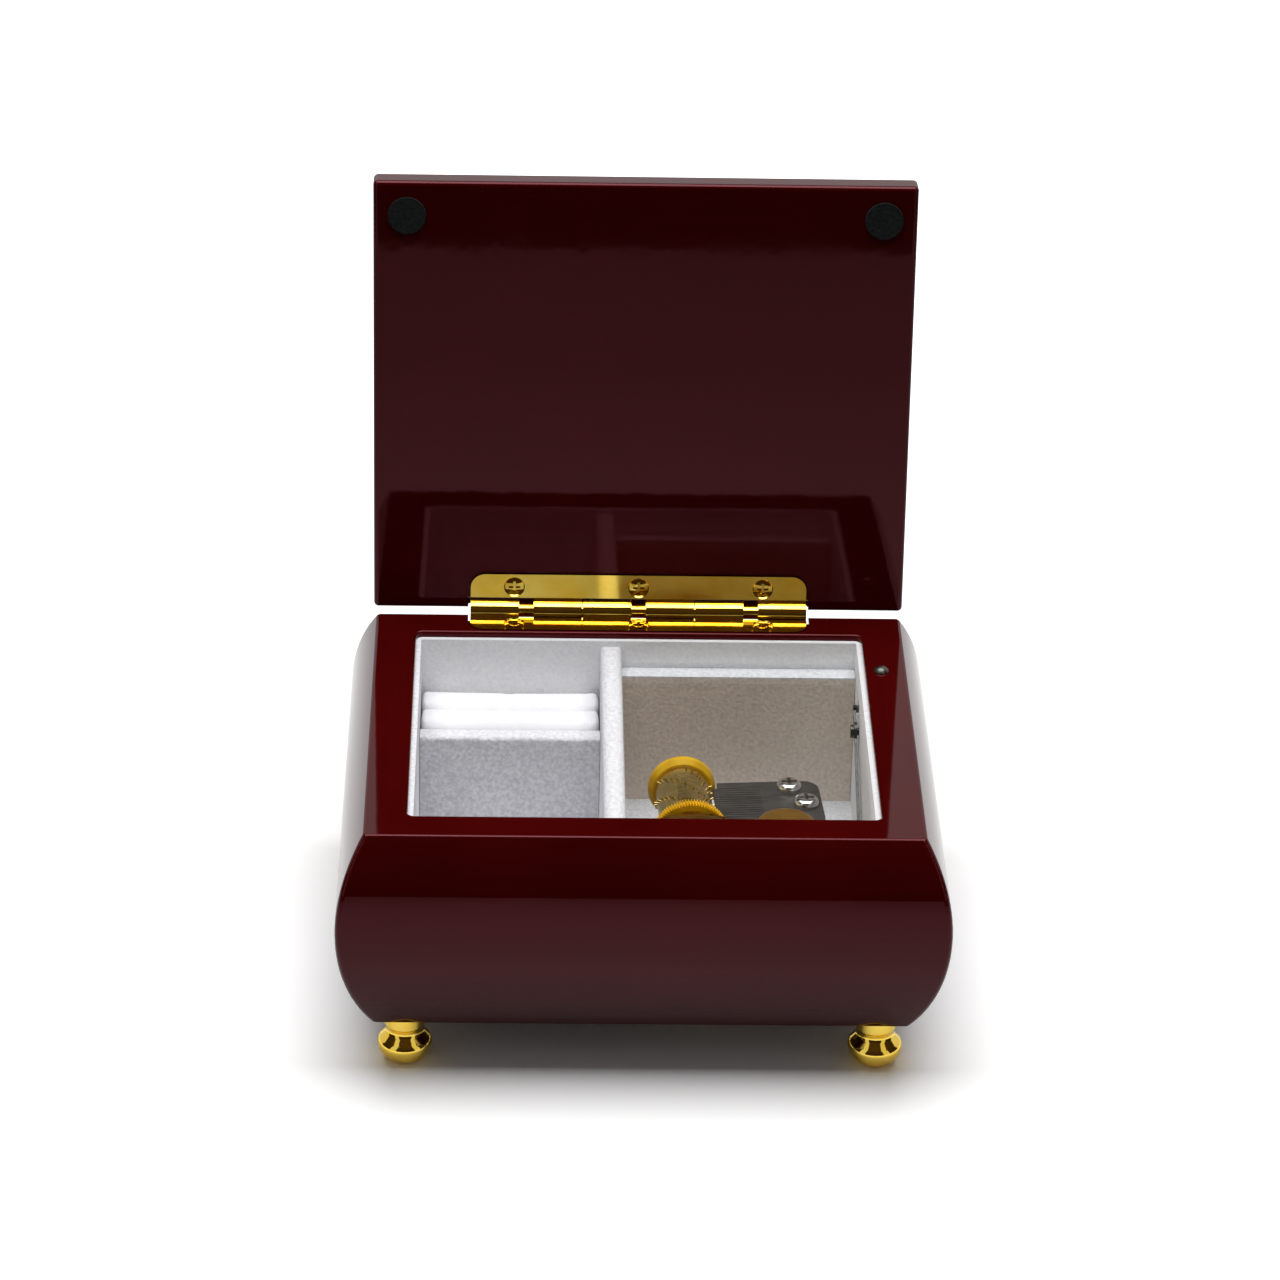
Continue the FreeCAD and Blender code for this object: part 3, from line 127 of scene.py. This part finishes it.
print("operators", [name for name in vars(Wire) if name.startswith("__r")])

# %% [markdown]
# The floor is a plain pale sheet. A photographer exposes for the paper, so that it comes out
# white and only the shadow shows. Rays that show the floor, straight or in the lacquer, therefore
# see a brighter paper than the one that throws light back on the box. A glow would do for the
# white as well, but it would also lift the shadow, which is nearly black under the box. Away from
# the box the straight view gets brighter, to stay white where the lamp no longer reaches, and the
# mirrored view falls off, as it does in a studio whose lamp hangs over the middle of the table.

# %% Rays that show the stage
def shown_rays(tree):
    """1 for a ray that shows the stage, straight or passed on by a piece, and 1 for a mirrored one."""
    path = tree.nodes.new("ShaderNodeLightPath")
    direct = Wire(tree, path.outputs["Is Camera Ray"])
    passed_on = Wire(tree, path.outputs["Is Transmission Ray"])
    mirrored = Wire(tree, path.outputs["Is Glossy Ray"])
    return direct.sum("MINIMUM", direct + passed_on + mirrored, 1.0), mirrored


def bare_material(name):
    """A material with its nodes cleared, its tree and its output node."""
    material = bpy.data.materials.new(name)
    material.use_nodes = True
    material.node_tree.nodes.clear()
    output = material.node_tree.nodes.new("ShaderNodeOutputMaterial")
    return material, material.node_tree, output


print("stage steps ready")

# %% Floor
floor_size = 8.0
floor_tone = 0.30
paper_near = 1.16
paper_far = 1.90
mirror_near = 1.0
mirror_far = 0.67
change_from = 0.14
change_to = 0.40

floor_material, floor_tree, floor_output = bare_material("pale floor")
place = Wire(floor_tree).add("ShaderNodeTexCoord", output="Object")
distance = place.add("ShaderNodeVectorMath", {"operation": "LENGTH"}, {0: place}, "Value")
limits = {"Value": distance, "From Min": change_from, "From Max": change_to}
away = place.add("ShaderNodeMapRange", None, limits)
shown, mirrored = shown_rays(floor_tree)
paper = paper_near + (paper_far - paper_near) * away
mirror = mirror_near + (mirror_far - mirror_near) * away
tone = (mirror * mirrored + paper * (1 - mirrored)) * shown + floor_tone * (1 - shown)
matt = place.add("ShaderNodeBsdfDiffuse", None, {"Color": tone})
floor_tree.links.new(matt.socket, floor_output.inputs["Surface"])

bpy.ops.mesh.primitive_plane_add(size=floor_size, location=(0.0, 0.0, 0.0))
floor = bpy.context.object
floor.name = "floor"
floor.data.materials.append(floor_material)
print("floor", floor_tone, paper_near, paper_far)

# %% [markdown]
# The light is one wide soft lamp over the box, in a white room. From overhead it leaves the front
# of the box and the walls inside a shade darker than what faces up, and gathers the shadow under
# the case. Polished lacquer and gold also need something dark to mirror, so dark cards stand in
# front of the box and at its sides, as in a product studio. Only reflections see them.

# %% World
room_light = 0.14
room_mirrored = 0.72
white = (1.0, 1.0, 1.0, 1.0)

world = bpy.data.worlds.new("white room")
bpy.context.scene.world = world
world.use_nodes = True
room = world.node_tree.nodes["Background"]
room.inputs["Color"].default_value = white
shown, mirrored = shown_rays(world.node_tree)
seen = 1.0 - (1.0 - room_mirrored) * mirrored
strength = seen * shown + room_light * (1 - shown)
world.node_tree.links.new(strength.socket, room.inputs["Strength"])
print("room light", room_light)

# %% Overhead lamp
lamp_place = (0.0, 0.023, 0.95)
lamp_width = 0.9
lamp_depth = 0.7
lamp_power = 11.4
lamp_tilt = math.radians(-4.0)

bpy.ops.object.light_add(type="AREA", location=lamp_place)
lamp = bpy.context.object
lamp.name = "overhead lamp"
lamp.data.shape = "RECTANGLE"
lamp.data.size = lamp_width
lamp.data.size_y = lamp_depth
lamp.data.energy = lamp_power
lamp.rotation_euler = (lamp_tilt, 0.0, 0.0)
print("lamp power", lamp_power)

# %% Dark cards
card_tone = (0.05, 0.03, 0.015, 1.0)
front_place = -0.56
front_width = 0.80
front_height = 1.3
side_place = 0.5
side_middle = -0.13
side_width = 0.36
side_height = 0.66

card_material, card_tree, card_output = bare_material("dark card")
dark = Wire(card_tree).add("ShaderNodeBsdfDiffuse", None, {"Color": card_tone})
card_tree.links.new(dark.socket, card_output.inputs["Surface"])


def dark_card(name, x, y, turn, width, height):
    """An upright dark card that stands on the floor and shows only in reflections."""
    bpy.ops.mesh.primitive_plane_add(size=1.0)
    card = bpy.context.object
    card.name = name
    card.scale = (width, height, 1.0)
    card.rotation_euler = (math.pi / 2, 0.0, turn)
    card.location = (x, y, height / 2)
    card.visible_camera = False
    card.visible_diffuse = False
    card.visible_shadow = False
    card.data.materials.append(card_material)


dark_card("front card", 0.0, front_place, 0.0, front_width, front_height)
dark_card("left card", -side_place, side_middle, math.pi / 2, side_width, side_height)
dark_card("right card", side_place, side_middle, math.pi / 2, side_width, side_height)
print("cards", front_width, front_height, side_width, side_height)

# %% [markdown]
# Each finish starts from the same few steps: a material whose even values are set on the shader
# itself, a noise read in the piece's own coordinates, a blend of two colours and a bump. They are
# short functions here, so that each finish below only has to say what is special about it. Most
# of a noise lies between the two values named first. The Mix node has its sockets for colours
# after those for numbers and vectors, so they are named by their place.

# %% Steps that the finishes share
noise_low = 0.3
noise_high = 0.7
mix_first = 6
mix_second = 7
mix_result = 2


def new_finish(name, fixed):
    """A material, its shader with these even values set, and a wire of the piece's coordinates."""
    material = bpy.data.materials.new(name)
    material.use_nodes = True
    shader = material.node_tree.nodes["Principled BSDF"]
    for socket, value in fixed.items():
        shader.inputs[socket].default_value = value
    place = Wire(material.node_tree).add("ShaderNodeTexCoord", output="Object")
    return material, shader, place


def plug(shader, wires):
    """Links each wire to the shader's socket of that name."""
    for socket, wire in wires.items():
        wire.tree.links.new(wire.socket, shader.inputs[socket])


def noise(place, size, detail=2.0, stretch=(1.0, 1.0, 1.0), turn=0.0):
    """Cloudy values from 0 to 1, with blotches of about this size in metres, pulled out by stretch."""
    scale = tuple(1.0 / (size * s) for s in stretch)
    turned = place.add("ShaderNodeMapping", {"vector_type": "TEXTURE"},
                       {"Vector": place, "Rotation": (0, 0, turn)})
    sized = place.add("ShaderNodeMapping", None, {"Vector": turned, "Scale": scale})
    cloudy = {"Vector": sized, "Scale": 1.0, "Detail": detail}
    return place.add("ShaderNodeTexNoise", None, cloudy, "Fac")


def mix(share, first, second):
    """From first to second as share goes from 0 to 1. Each is a wire or a colour with its alpha."""
    mixed = {"Factor": share, mix_first: first, mix_second: second}
    return share.add("ShaderNodeMix", {"data_type": "RGBA"}, mixed, mix_result)


def blend(share, first, second):
    """The same between two plain colours."""
    return mix(share, (*first, 1.0), (*second, 1.0))


def spread(value, low=noise_low, high=noise_high):
    """Values between low and high pulled out to the whole range from 0 to 1."""
    limits = {"Value": value, "From Min": low, "From Max": high}
    return value.add("ShaderNodeMapRange", None, limits)


def bump(height, depth):
    """A surface raised by up to depth, in metres, where height is 1."""
    raised = {"Height": height, "Distance": depth, "Strength": 1.0}
    return height.add("ShaderNodeBump", None, raised, "Normal")


print("steps ready")

# %% [markdown]
# The case and the lid are veneered board under many coats of burgundy lacquer, rubbed to a
# mirror. The colour is deep and nearly even, with a trace of the veneer's grain along each board.
# A mirror that is perfectly flat looks like glass, so a very shallow ripple over a few
# millimetres bends the reflections as polished lacquer does. The coats are tinted all the way
# down, so what they mirror head-on comes back reddish, and only a flat glance comes back white.
# The grain runs along X on the front, back and lid, and along Y on the sides. The lid has a copy
# of the lacquer with painted shade: its tones are darker, for the less light that falls on it.

# %% Lacquer
lacquer_dark = (0.042, 0.0008, 0.0008)
lacquer_light = (0.060, 0.0016, 0.0014)
# Painted shade: the lid's tones are darker than the case's, for the less light that falls on it.
lid_painted_shade_dark = (0.028, 0.0007, 0.0007)
lid_painted_shade_light = (0.041, 0.0013, 0.0012)
lacquer_gleam = (1.0, 0.34, 0.40, 1.0)
lacquer_specular = 0.36
lacquer_rough = 0.025
wiped_rough = 0.03
grain_size = 0.0016
grain_share = 0.35
cloud_size = 0.024
wiped_size = 0.018
lacquer_ripple = 0.0045
lacquer_ripple_depth = 0.000006


def lacquer(name, stretch, dark=lacquer_dark, light=lacquer_light):
    fixed = {"IOR": 1.5, "Specular IOR Level": lacquer_specular, "Specular Tint": lacquer_gleam}
    material, shader, place = new_finish(name, fixed)
    streaks = noise(place, grain_size, 4.0, stretch)
    clouds = noise(place, cloud_size, 2.0)
    share = spread(streaks * grain_share + clouds * (1 - grain_share), low=0.25, high=0.75)
    wiped = noise(place, wiped_size, 3.0)
    ripple = noise(place, lacquer_ripple, 1.0)
    plug(shader, {"Base Color": blend(share, dark, light),
                  "Roughness": wiped * wiped_rough + lacquer_rough,
                  "Normal": bump(ripple, lacquer_ripple_depth)})
    return material


along_x = (14.0, 1.0, 1.0)
along_y = (1.0, 14.0, 1.0)
finishes = {"lacquer": lacquer("burgundy lacquer", along_x)}
side_lacquer = lacquer("burgundy lacquer of the sides", along_y)
# The lid takes the same lacquer with painted shade.
lid_painted_shade_lacquer = lacquer("burgundy lacquer with painted shade of the lid", along_x, lid_painted_shade_dark, lid_painted_shade_light)
print("lacquer", len(finishes))

# %% [markdown]
# The hinge, its screws, the feet and the key are steel or zinc plated in bright yellow gold.
# Plate this thin mirrors everything, so its look is nearly all reflection. A little unevenness in
# its gloss, as from handling, keeps the flat leaf from looking like a picture of the room.

# %% Gold plate
gold_warm = (0.94, 0.60, 0.060)
gold_pale = (1.0, 0.74, 0.14)
gold_rough = 0.05
handled_rough = 0.07
handled_size = 0.006
gold_ripple = 0.0022
gold_ripple_depth = 0.000004


def gold():
    material, shader, place = new_finish("gold plate", {"Metallic": 1.0, "IOR": 1.5})
    handled = noise(place, handled_size, 3.0)
    ripple = noise(place, gold_ripple, 1.0)
    plug(shader, {"Base Color": blend(spread(handled), gold_warm, gold_pale),
                  "Roughness": handled * handled_rough + gold_rough,
                  "Normal": bump(ripple, gold_ripple_depth)})
    return material


finishes["gold"] = gold()
print("gold plate")

# %% [markdown]
# The inside is lined with card that has been flocked: short nylon fibres stand in glue like a
# very fine velvet. From a metre away single fibres can't be seen, but the pile leans in small
# patches, which shows as a soft mottling under a millimetre across. The sheen of the shader gives
# the pale edge that such a pile has where it is seen along its surface. The back and right walls
# have painted light: their flock is whiter, for the light that their pile catches. The ledges that
# carry the pane are the same card. Painted shade and painted warm light thrown back by the brass
# make the flock on their faces brown-grey, with white flock on top, so their colour changes with
# the height. The cross divider has painted shade on its faces in the same way, from grey to white.

# %% Flock
flock_shade = (0.72, 0.72, 0.75)
flock_light = (0.96, 0.96, 0.98)
# Painted light: the whiter tones of the back and right walls.
painted_light_dim = (0.90, 0.90, 0.92)
painted_light_bright = (1.0, 1.0, 1.0)
# Painted shade: the greyer tones of the cross divider's faces.
painted_shade_dim = (0.58, 0.58, 0.61)
painted_shade_bright = (0.86, 0.86, 0.89)
# Painted shade and painted warm light thrown back by the brass: the brown-grey tones of the ledges'
# faces.
ledge_painted_shade_dim = (0.76, 0.66, 0.575)
ledge_painted_shade_bright = (0.98, 0.87, 0.77)
black_shade = (0.002, 0.003, 0.003)
black_light = (0.012, 0.013, 0.013)
plain_sheen = 0.3
lit_sheen = 1.0
topped_sheen = 0.4
black_sheen = 0.05
patch_size = 0.0008
wide_size = 0.007
fibre_size = 0.00016
patch_share = 0.9
patch_height = 0.7
pile_depth = 0.00055
edge_wander = 0.0003
edge_start = 0.0004
edge_end = 0.0001
matt_cloth = {"Roughness": 0.95, "Specular IOR Level": 0.15, "Sheen Roughness": 0.45}


def pile(place):
    """The leaning patches of a pile from 0 to 1, and the bump that they and the fibres make."""
    patches = noise(place, patch_size, 3.0)
    wide = noise(place, wide_size, 2.0)
    fibres = noise(place, fibre_size, 1.0)
    lean = spread(patches * patch_share + wide * (1 - patch_share))
    return lean, bump(patches * patch_height + fibres * (1 - patch_height), pile_depth)


def flock(name, shade, light, sheen):
    material, shader, place = new_finish(name, {**matt_cloth, "Sheen Weight": sheen})
    lean, relief = pile(place)
    plug(shader, {"Base Color": blend(lean, shade, light), "Normal": relief})
    return material


def painted_shade_flock(name, shade, light, top):
    """Flock with painted shade of one colour on its faces, turning white just under the height of its
    top.
    """
    material, shader, place = new_finish(name, {**matt_cloth, "Sheen Weight": topped_sheen})
    lean, relief = pile(place)
    height = place.add("ShaderNodeSeparateXYZ", None, {0: place}, "Z")
    upper = spread(height + lean * edge_wander, top - edge_start, top - edge_end)
    # The faces take the painted shade; near the top it turns to the plain white flock.
    face = blend(lean, shade, light)
    pale = blend(lean, flock_shade, flock_light)
    plug(shader, {"Base Color": mix(upper, face, pale), "Normal": relief})
    return material


finishes["flock"] = flock("white flock", flock_shade, flock_light, plain_sheen)
# The back and right walls get a whiter flock as painted light.
painted_light_flock = flock("white flock with painted light of the back and right walls", painted_light_dim, painted_light_bright, lit_sheen)
# The ledges' faces get painted shade and painted warm bounce light, their tops the plain white flock.
ledge_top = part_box("clear_pane")[0][2]
finishes["bay_felt"] = painted_shade_flock("flock with painted shade of the ledges", ledge_painted_shade_dim, ledge_painted_shade_bright, ledge_top)
# The cross divider's faces get painted shade, and its top the plain white flock.
divider_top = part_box("cross_divider")[1][2]
painted_shade_divider_flock = painted_shade_flock("flock with painted shade of the cross divider", painted_shade_dim, painted_shade_bright, divider_top)
finishes["felt"] = flock("black felt", black_shade, black_light, black_sheen)
print("flocks", sorted(finishes))

# %% [markdown]
# The ring cushion is covered in white satin. Its threads are far too fine to show one by one, so
# the weave is a faint ribbing across the rolls, and the cloth's glow comes from sheen over a
# half-gloss.

# %% Satin
satin_shade = (0.86, 0.86, 0.88)
satin_light = (0.93, 0.93, 0.95)
rib_scale = 700.0
rib_share = 0.3
slub_size = 0.004
weave_depth = 0.00006
half_gloss = {"Roughness": 0.5, "Specular IOR Level": 0.35,
              "Sheen Weight": 0.3, "Sheen Roughness": 0.35}


def satin():
    material, shader, place = new_finish("white satin", half_gloss)
    waves = {"Vector": place, "Scale": rib_scale, "Distortion": 2.0, "Detail": 2.0}
    ribs = place.add("ShaderNodeTexWave", {"bands_direction": "X"}, waves, "Fac")
    weave = ribs * rib_share + noise(place, slub_size, 2.0) * (1 - rib_share)
    share = spread(weave, low=0.2, high=0.8)
    plug(shader, {"Base Color": blend(share, satin_shade, satin_light),
                  "Normal": bump(weave, weave_depth)})
    return material


finishes["satin"] = satin()
print("satin")

# %% [markdown]
# A sheet of clear acrylic lies over the movement. Real glass shading bends light twice and
# darkens what is below it, for a sheet that hardly shows. A mix of see-through and mirror is
# truer here: Fresnel sends more of the mirror to the eye the flatter it looks along the sheet,
# which is what makes a pane visible. The far side of the sheet has no mirror, because its rays
# aren't bent and would be turned back in.

# %% Clear pane
pane_tint = (0.985, 0.99, 0.99, 1.0)
pane_gleam = (0.95, 0.95, 0.95, 1.0)
pane_rough = 0.03
acrylic_ior = 1.45


def clear():
    material, tree, output = bare_material("clear acrylic")
    start = Wire(tree)
    through = start.add("ShaderNodeBsdfTransparent", None, {"Color": pane_tint})
    mirror = start.add("ShaderNodeBsdfGlossy", None, {"Color": pane_gleam, "Roughness": pane_rough})
    inside = start.add("ShaderNodeNewGeometry", output="Backfacing")
    share = start.add("ShaderNodeFresnel", None, {"IOR": acrylic_ior}) * (1 - inside)
    sheet = start.add("ShaderNodeMixShader", None, {0: share, 1: through, 2: mirror})
    tree.links.new(sheet.socket, output.inputs["Surface"])
    return material


finishes["clear"] = clear()
print("clear pane")

# %% [markdown]
# The movement is a small machine of many metals. Each is a mirror blurred in its own way: the
# comb is dark spring steel ground along its teeth, the bed is a satin casting, the drum is turned
# brass and the screws are bright plate. One function makes them all from two tones, a roughness,
# and the size, depth and direction of the marks that the tool left.

# %% Metals of the movement
movement_turn = math.radians(4.0)
worn_size = 0.004
mark_share = 0.7
mark_rough = 0.12
along_teeth = (40.0, 1.0, 1.0)
round_drum = (12.0, 1.0, 12.0)


def metal(name, shade, light, rough, marks, depth, stretch=(1.0, 1.0, 1.0)):
    """A metal between two tones, with tool marks of this size and depth in metres."""
    material, shader, place = new_finish(name, {"Metallic": 1.0, "IOR": 1.5})
    lines = noise(place, marks, 3.0, stretch, movement_turn)
    worn = noise(place, worn_size, 2.0)
    share = spread(lines * mark_share + worn * (1 - mark_share))
    plug(shader, {"Base Color": blend(share, shade, light),
                  "Roughness": share * mark_rough + rough,
                  "Normal": bump(lines, depth)})
    return material


finishes["steel"] = metal("turned steel", shade=(0.42, 0.42, 0.43), light=(0.62, 0.62, 0.63),
                          rough=0.22, marks=0.0006, depth=0.000004)
finishes["dark_steel"] = metal("blackened steel", shade=(0.05, 0.05, 0.045), light=(0.12, 0.12, 0.11),
                               rough=0.30, marks=0.0006, depth=0.000004)
finishes["screw"] = metal("bright plate", shade=(0.62, 0.62, 0.61), light=(0.80, 0.80, 0.79),
                          rough=0.10, marks=0.0008, depth=0.000003)
finishes["comb"] = metal("ground comb steel", shade=(0.075, 0.070, 0.066), light=(0.18, 0.168, 0.156),
                         rough=0.42, marks=0.00018, depth=0.000010, stretch=along_teeth)
finishes["casting"] = metal("satin casting", shade=(0.30, 0.27, 0.22), light=(0.46, 0.43, 0.37),
                            rough=0.42, marks=0.0004, depth=0.00001)
finishes["brass"] = metal("turned brass", shade=(0.50, 0.37, 0.12), light=(0.72, 0.56, 0.22),
                          rough=0.20, marks=0.0003, depth=0.000004, stretch=round_drum)
finishes["barrel"] = metal("golden-brown plate", shade=(0.34, 0.185, 0.03), light=(0.48, 0.28, 0.06),
                           rough=0.24, marks=0.0012, depth=0.000003)
print("metals", sorted(finishes))

# %% [markdown]
# The drive gear and the drum's cap are moulded in amber plastic and the governor's hood in brown.
# Moulded plastic is even in colour and not quite smooth: it has a soft gloss and a fine texture
# from its mould. The bottom panel is stained board, which is duller and coarser but made in the
# same way.

# %% Moulded plastic and board
cloudy_size = 0.003
texture_rough = 0.12


def moulded(name, shade, light, rough, grain, depth):
    """A plastic or board between two tones, with a texture of this size and depth in metres."""
    material, shader, place = new_finish(name, {"IOR": 1.48, "Specular IOR Level": 0.5})
    cloudy = noise(place, cloudy_size, 2.0)
    texture = noise(place, grain, 2.0)
    plug(shader, {"Base Color": blend(spread(cloudy), shade, light),
                  "Roughness": texture * texture_rough + rough,
                  "Normal": bump(texture, depth)})
    return material


finishes["amber"] = moulded("amber plastic", shade=(0.66, 0.34, 0.004), light=(0.82, 0.48, 0.010),
                            rough=0.26, grain=0.0003, depth=0.000006)
finishes["brown"] = moulded("brown plastic", shade=(0.12, 0.058, 0.008), light=(0.18, 0.090, 0.014),
                            rough=0.24, grain=0.0004, depth=0.000006)
finishes["panel"] = moulded("stained board", shade=(0.035, 0.012, 0.008), light=(0.07, 0.024, 0.016),
                            rough=0.62, grain=0.0009, depth=0.00006)
print("finishes", len(finishes))

# %% [markdown]
# Every solid already knows which finish it takes: the record of the model names a slot for each.
# A few are exceptions: the side walls, whose grain runs the other way, the lid with its painted
# shade, the back and right walls with painted light, the cross divider with painted shade on its
# faces, and the stop work, whose steel is blackened.

# %% Dress the solids
# The lid, the back and right walls and the cross divider take the copies with painted shade or painted
# light.
own_finish = {"wall_left": side_lacquer, "wall_right": side_lacquer, "lid_board": lid_painted_shade_lacquer,
              "lining_back": painted_light_flock, "lining_right": painted_light_flock, "cross_divider": painted_shade_divider_flock}
for name in ("stop_plunger", "stop_lever", "lever_pivot"):
    own_finish[name] = finishes["dark_steel"]
for piece in frame["record"]["subparts"]:
    name = piece["node"]
    for slot in nodes[name].material_slots:
        slot.material = own_finish.get(name, finishes[piece["material_slot"]])

# %% [markdown]
# The clear pane lies flat on its ledges, and where two faces share a place the renderer has to
# guess which comes first. A sheet that is thinner by a few hundredths of a millimetre, lifted
# clear of the ledges, settles it and looks no different.

# %% Lift the pane off its ledges
pane_lift = 0.00003

pane_low, pane_high = (Vector(corner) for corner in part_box("clear_pane"))
pane_low.z += pane_lift
bpy.ops.object.select_all(action="DESELECT")
pane_size = pane_high - pane_low
bpy.ops.mesh.primitive_cube_add(size=1.0, location=(pane_low + pane_high) / 2, scale=pane_size)
pane = bpy.context.object
pane.name = "clear_pane_sheet"
bpy.ops.object.transform_apply(location=True, rotation=True, scale=True)
pane.data.materials.append(finishes["clear"])
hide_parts("clear_pane")
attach(pane, "case")
print("pane", tuple(round(side, 5) for side in pane_size))

# %% [markdown]
# The ring cushion is two rolls of foam in satin covers, pressed side by side between the walls of
# their compartment, so that a ring can be pushed down between them. A rounded block would look
# carved, because foam pushes its cover out most where nothing holds it. So each cover starts as a
# slack block with rounded top edges, a little too small, and cloth under pressure blows it up.
# Cloth works best at the size of a bed cushion, so the rolls are modelled many times too large
# and made small again at the end. The sunk part of each roll is pinned, since the walls hold it,
# and only the top swells.

# %% Slack covers of the ring cushion
enlarge = 20.0
roll_slack = 0.00025
roll_round = 0.0020
end_round = 0.0007
cover_mesh = 0.00085
round_steps = 6
same_place = 0.0001

cushion_low, cushion_high = (Vector(corner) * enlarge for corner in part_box("ring_cushion"))
middle = (cushion_low.y + cushion_high.y) / 2
roll_sides = {"front_roll": (cushion_low.y, middle), "back_roll": (middle, cushion_high.y)}


def slack_cover(name, front, back):
    """A block between front and back, rounded along its top, in faces of about the cover's mesh."""
    slack = Vector((1.0, 1.0, 1.0)) * roll_slack * enlarge
    low = Vector((cushion_low.x, front, cushion_low.z)) + slack
    high = Vector((cushion_high.x, back, cushion_high.z)) - slack
    bpy.ops.object.select_all(action="DESELECT")
    bpy.ops.mesh.primitive_cube_add(size=1.0, location=(low + high) / 2, scale=high - low)
    roll = bpy.context.object
    roll.name = name
    bpy.ops.object.transform_apply(location=True, rotation=True, scale=True)
    for across, radius in ((1, roll_round), (0, end_round)):
        bpy.ops.object.mode_set(mode="EDIT")
        bpy.ops.mesh.select_mode(type="EDGE")
        bpy.ops.mesh.select_all(action="DESELECT")
        bpy.ops.object.mode_set(mode="OBJECT")
        points = roll.data.vertices
        for edge in roll.data.edges:
            first, second = (points[index].co for index in edge.vertices)
            on_top = min(first.z, second.z) > high.z - same_place
            same_side = abs(first[across] - second[across]) < same_place
            to_side = min(abs(first[across] - low[across]), abs(first[across] - high[across]))
            edge.select = on_top and same_side and to_side < same_place
        bpy.ops.object.mode_set(mode="EDIT")
        bpy.ops.mesh.bevel(offset=radius * enlarge, segments=round_steps)
        bpy.ops.object.mode_set(mode="OBJECT")
    remesh = roll.modifiers.new("even mesh", "REMESH")
    remesh.mode = "VOXEL"
    remesh.voxel_size = cover_mesh * enlarge
    bpy.ops.object.modifier_apply(modifier=remesh.name)
    return roll


rolls = [slack_cover(name, *sides) for name, sides in roll_sides.items()]
print("slack covers", [len(roll.data.vertices) for roll in rolls])

# %% Swell the rolls
roll_pressure = 4.0
swell_steps = 20
swell_cap = 0.0009
clear_gap = 0.00006
held_share = 0.72
cover_quality = 6
cover_stiffness = 6.0
cover_bending = 0.2


def swell(roll, front, back):
    """Blows a cover up with cloth, and keeps every point near its start and inside its own place."""
    starts = [point.co.copy() for point in roll.data.vertices]
    held_below = cushion_low.z + held_share * (cushion_high.z - cushion_low.z)
    held = roll.vertex_groups.new(name="held")
    held.add([index for index, start in enumerate(starts) if start.z < held_below], 1.0, "REPLACE")
    cloth = roll.modifiers.new("cover", "CLOTH")
    cloth.settings.quality = cover_quality
    cloth.settings.tension_stiffness = cover_stiffness
    cloth.settings.compression_stiffness = cover_stiffness
    cloth.settings.bending_stiffness = cover_bending
    cloth.settings.use_pressure = True
    cloth.settings.uniform_pressure_force = roll_pressure
    cloth.settings.vertex_group_mass = held.name
    cloth.settings.effector_weights.gravity = 0.0
    cloth.point_cache.frame_end = swell_steps
    for step in range(1, swell_steps + 1):
        bpy.context.scene.frame_set(step)
    bpy.context.view_layer.objects.active = roll
    bpy.ops.object.modifier_apply(modifier=cloth.name)
    bpy.context.scene.frame_set(1)
    gap = clear_gap * enlarge
    low = Vector((cushion_low.x + gap, front + gap, cushion_low.z))
    high = Vector((cushion_high.x - gap, back - gap, cushion_high.z))
    furthest = swell_cap * enlarge
    longest = 0.0
    for point, start in zip(roll.data.vertices, starts):
        moved = point.co - start
        if moved.length > furthest:
            moved *= furthest / moved.length
        for axis in range(3):
            point.co[axis] = min(max(start[axis] + moved[axis], low[axis]), high[axis])
        longest = max(longest, (point.co - start).length / enlarge)
    return longest


for roll, sides in zip(rolls, roll_sides.values()):
    print(roll.name, "swollen by", round(swell(roll, *sides), 5))

# %% Finish the cushion
bpy.ops.object.select_all(action="DESELECT")
for roll in rolls:
    roll.select_set(True)
bpy.context.view_layer.objects.active = rolls[0]
bpy.ops.object.join()
cushion = bpy.context.object
cushion.name = "ring_cushion_rolls"
cushion.scale = (1 / enlarge, 1 / enlarge, 1 / enlarge)
bpy.ops.object.transform_apply(location=True, rotation=True, scale=True)
smoother = cushion.modifiers.new("smoother", "SUBSURF")
smoother.levels = 1
smoother.render_levels = 1
bpy.ops.object.modifier_apply(modifier=smoother.name)
bpy.ops.object.shade_smooth()
cushion.data.materials.append(finishes["satin"])
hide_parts("ring_cushion")
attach(cushion, "case")
print("cushion", len(cushion.data.polygons), "faces")

# %% [markdown]
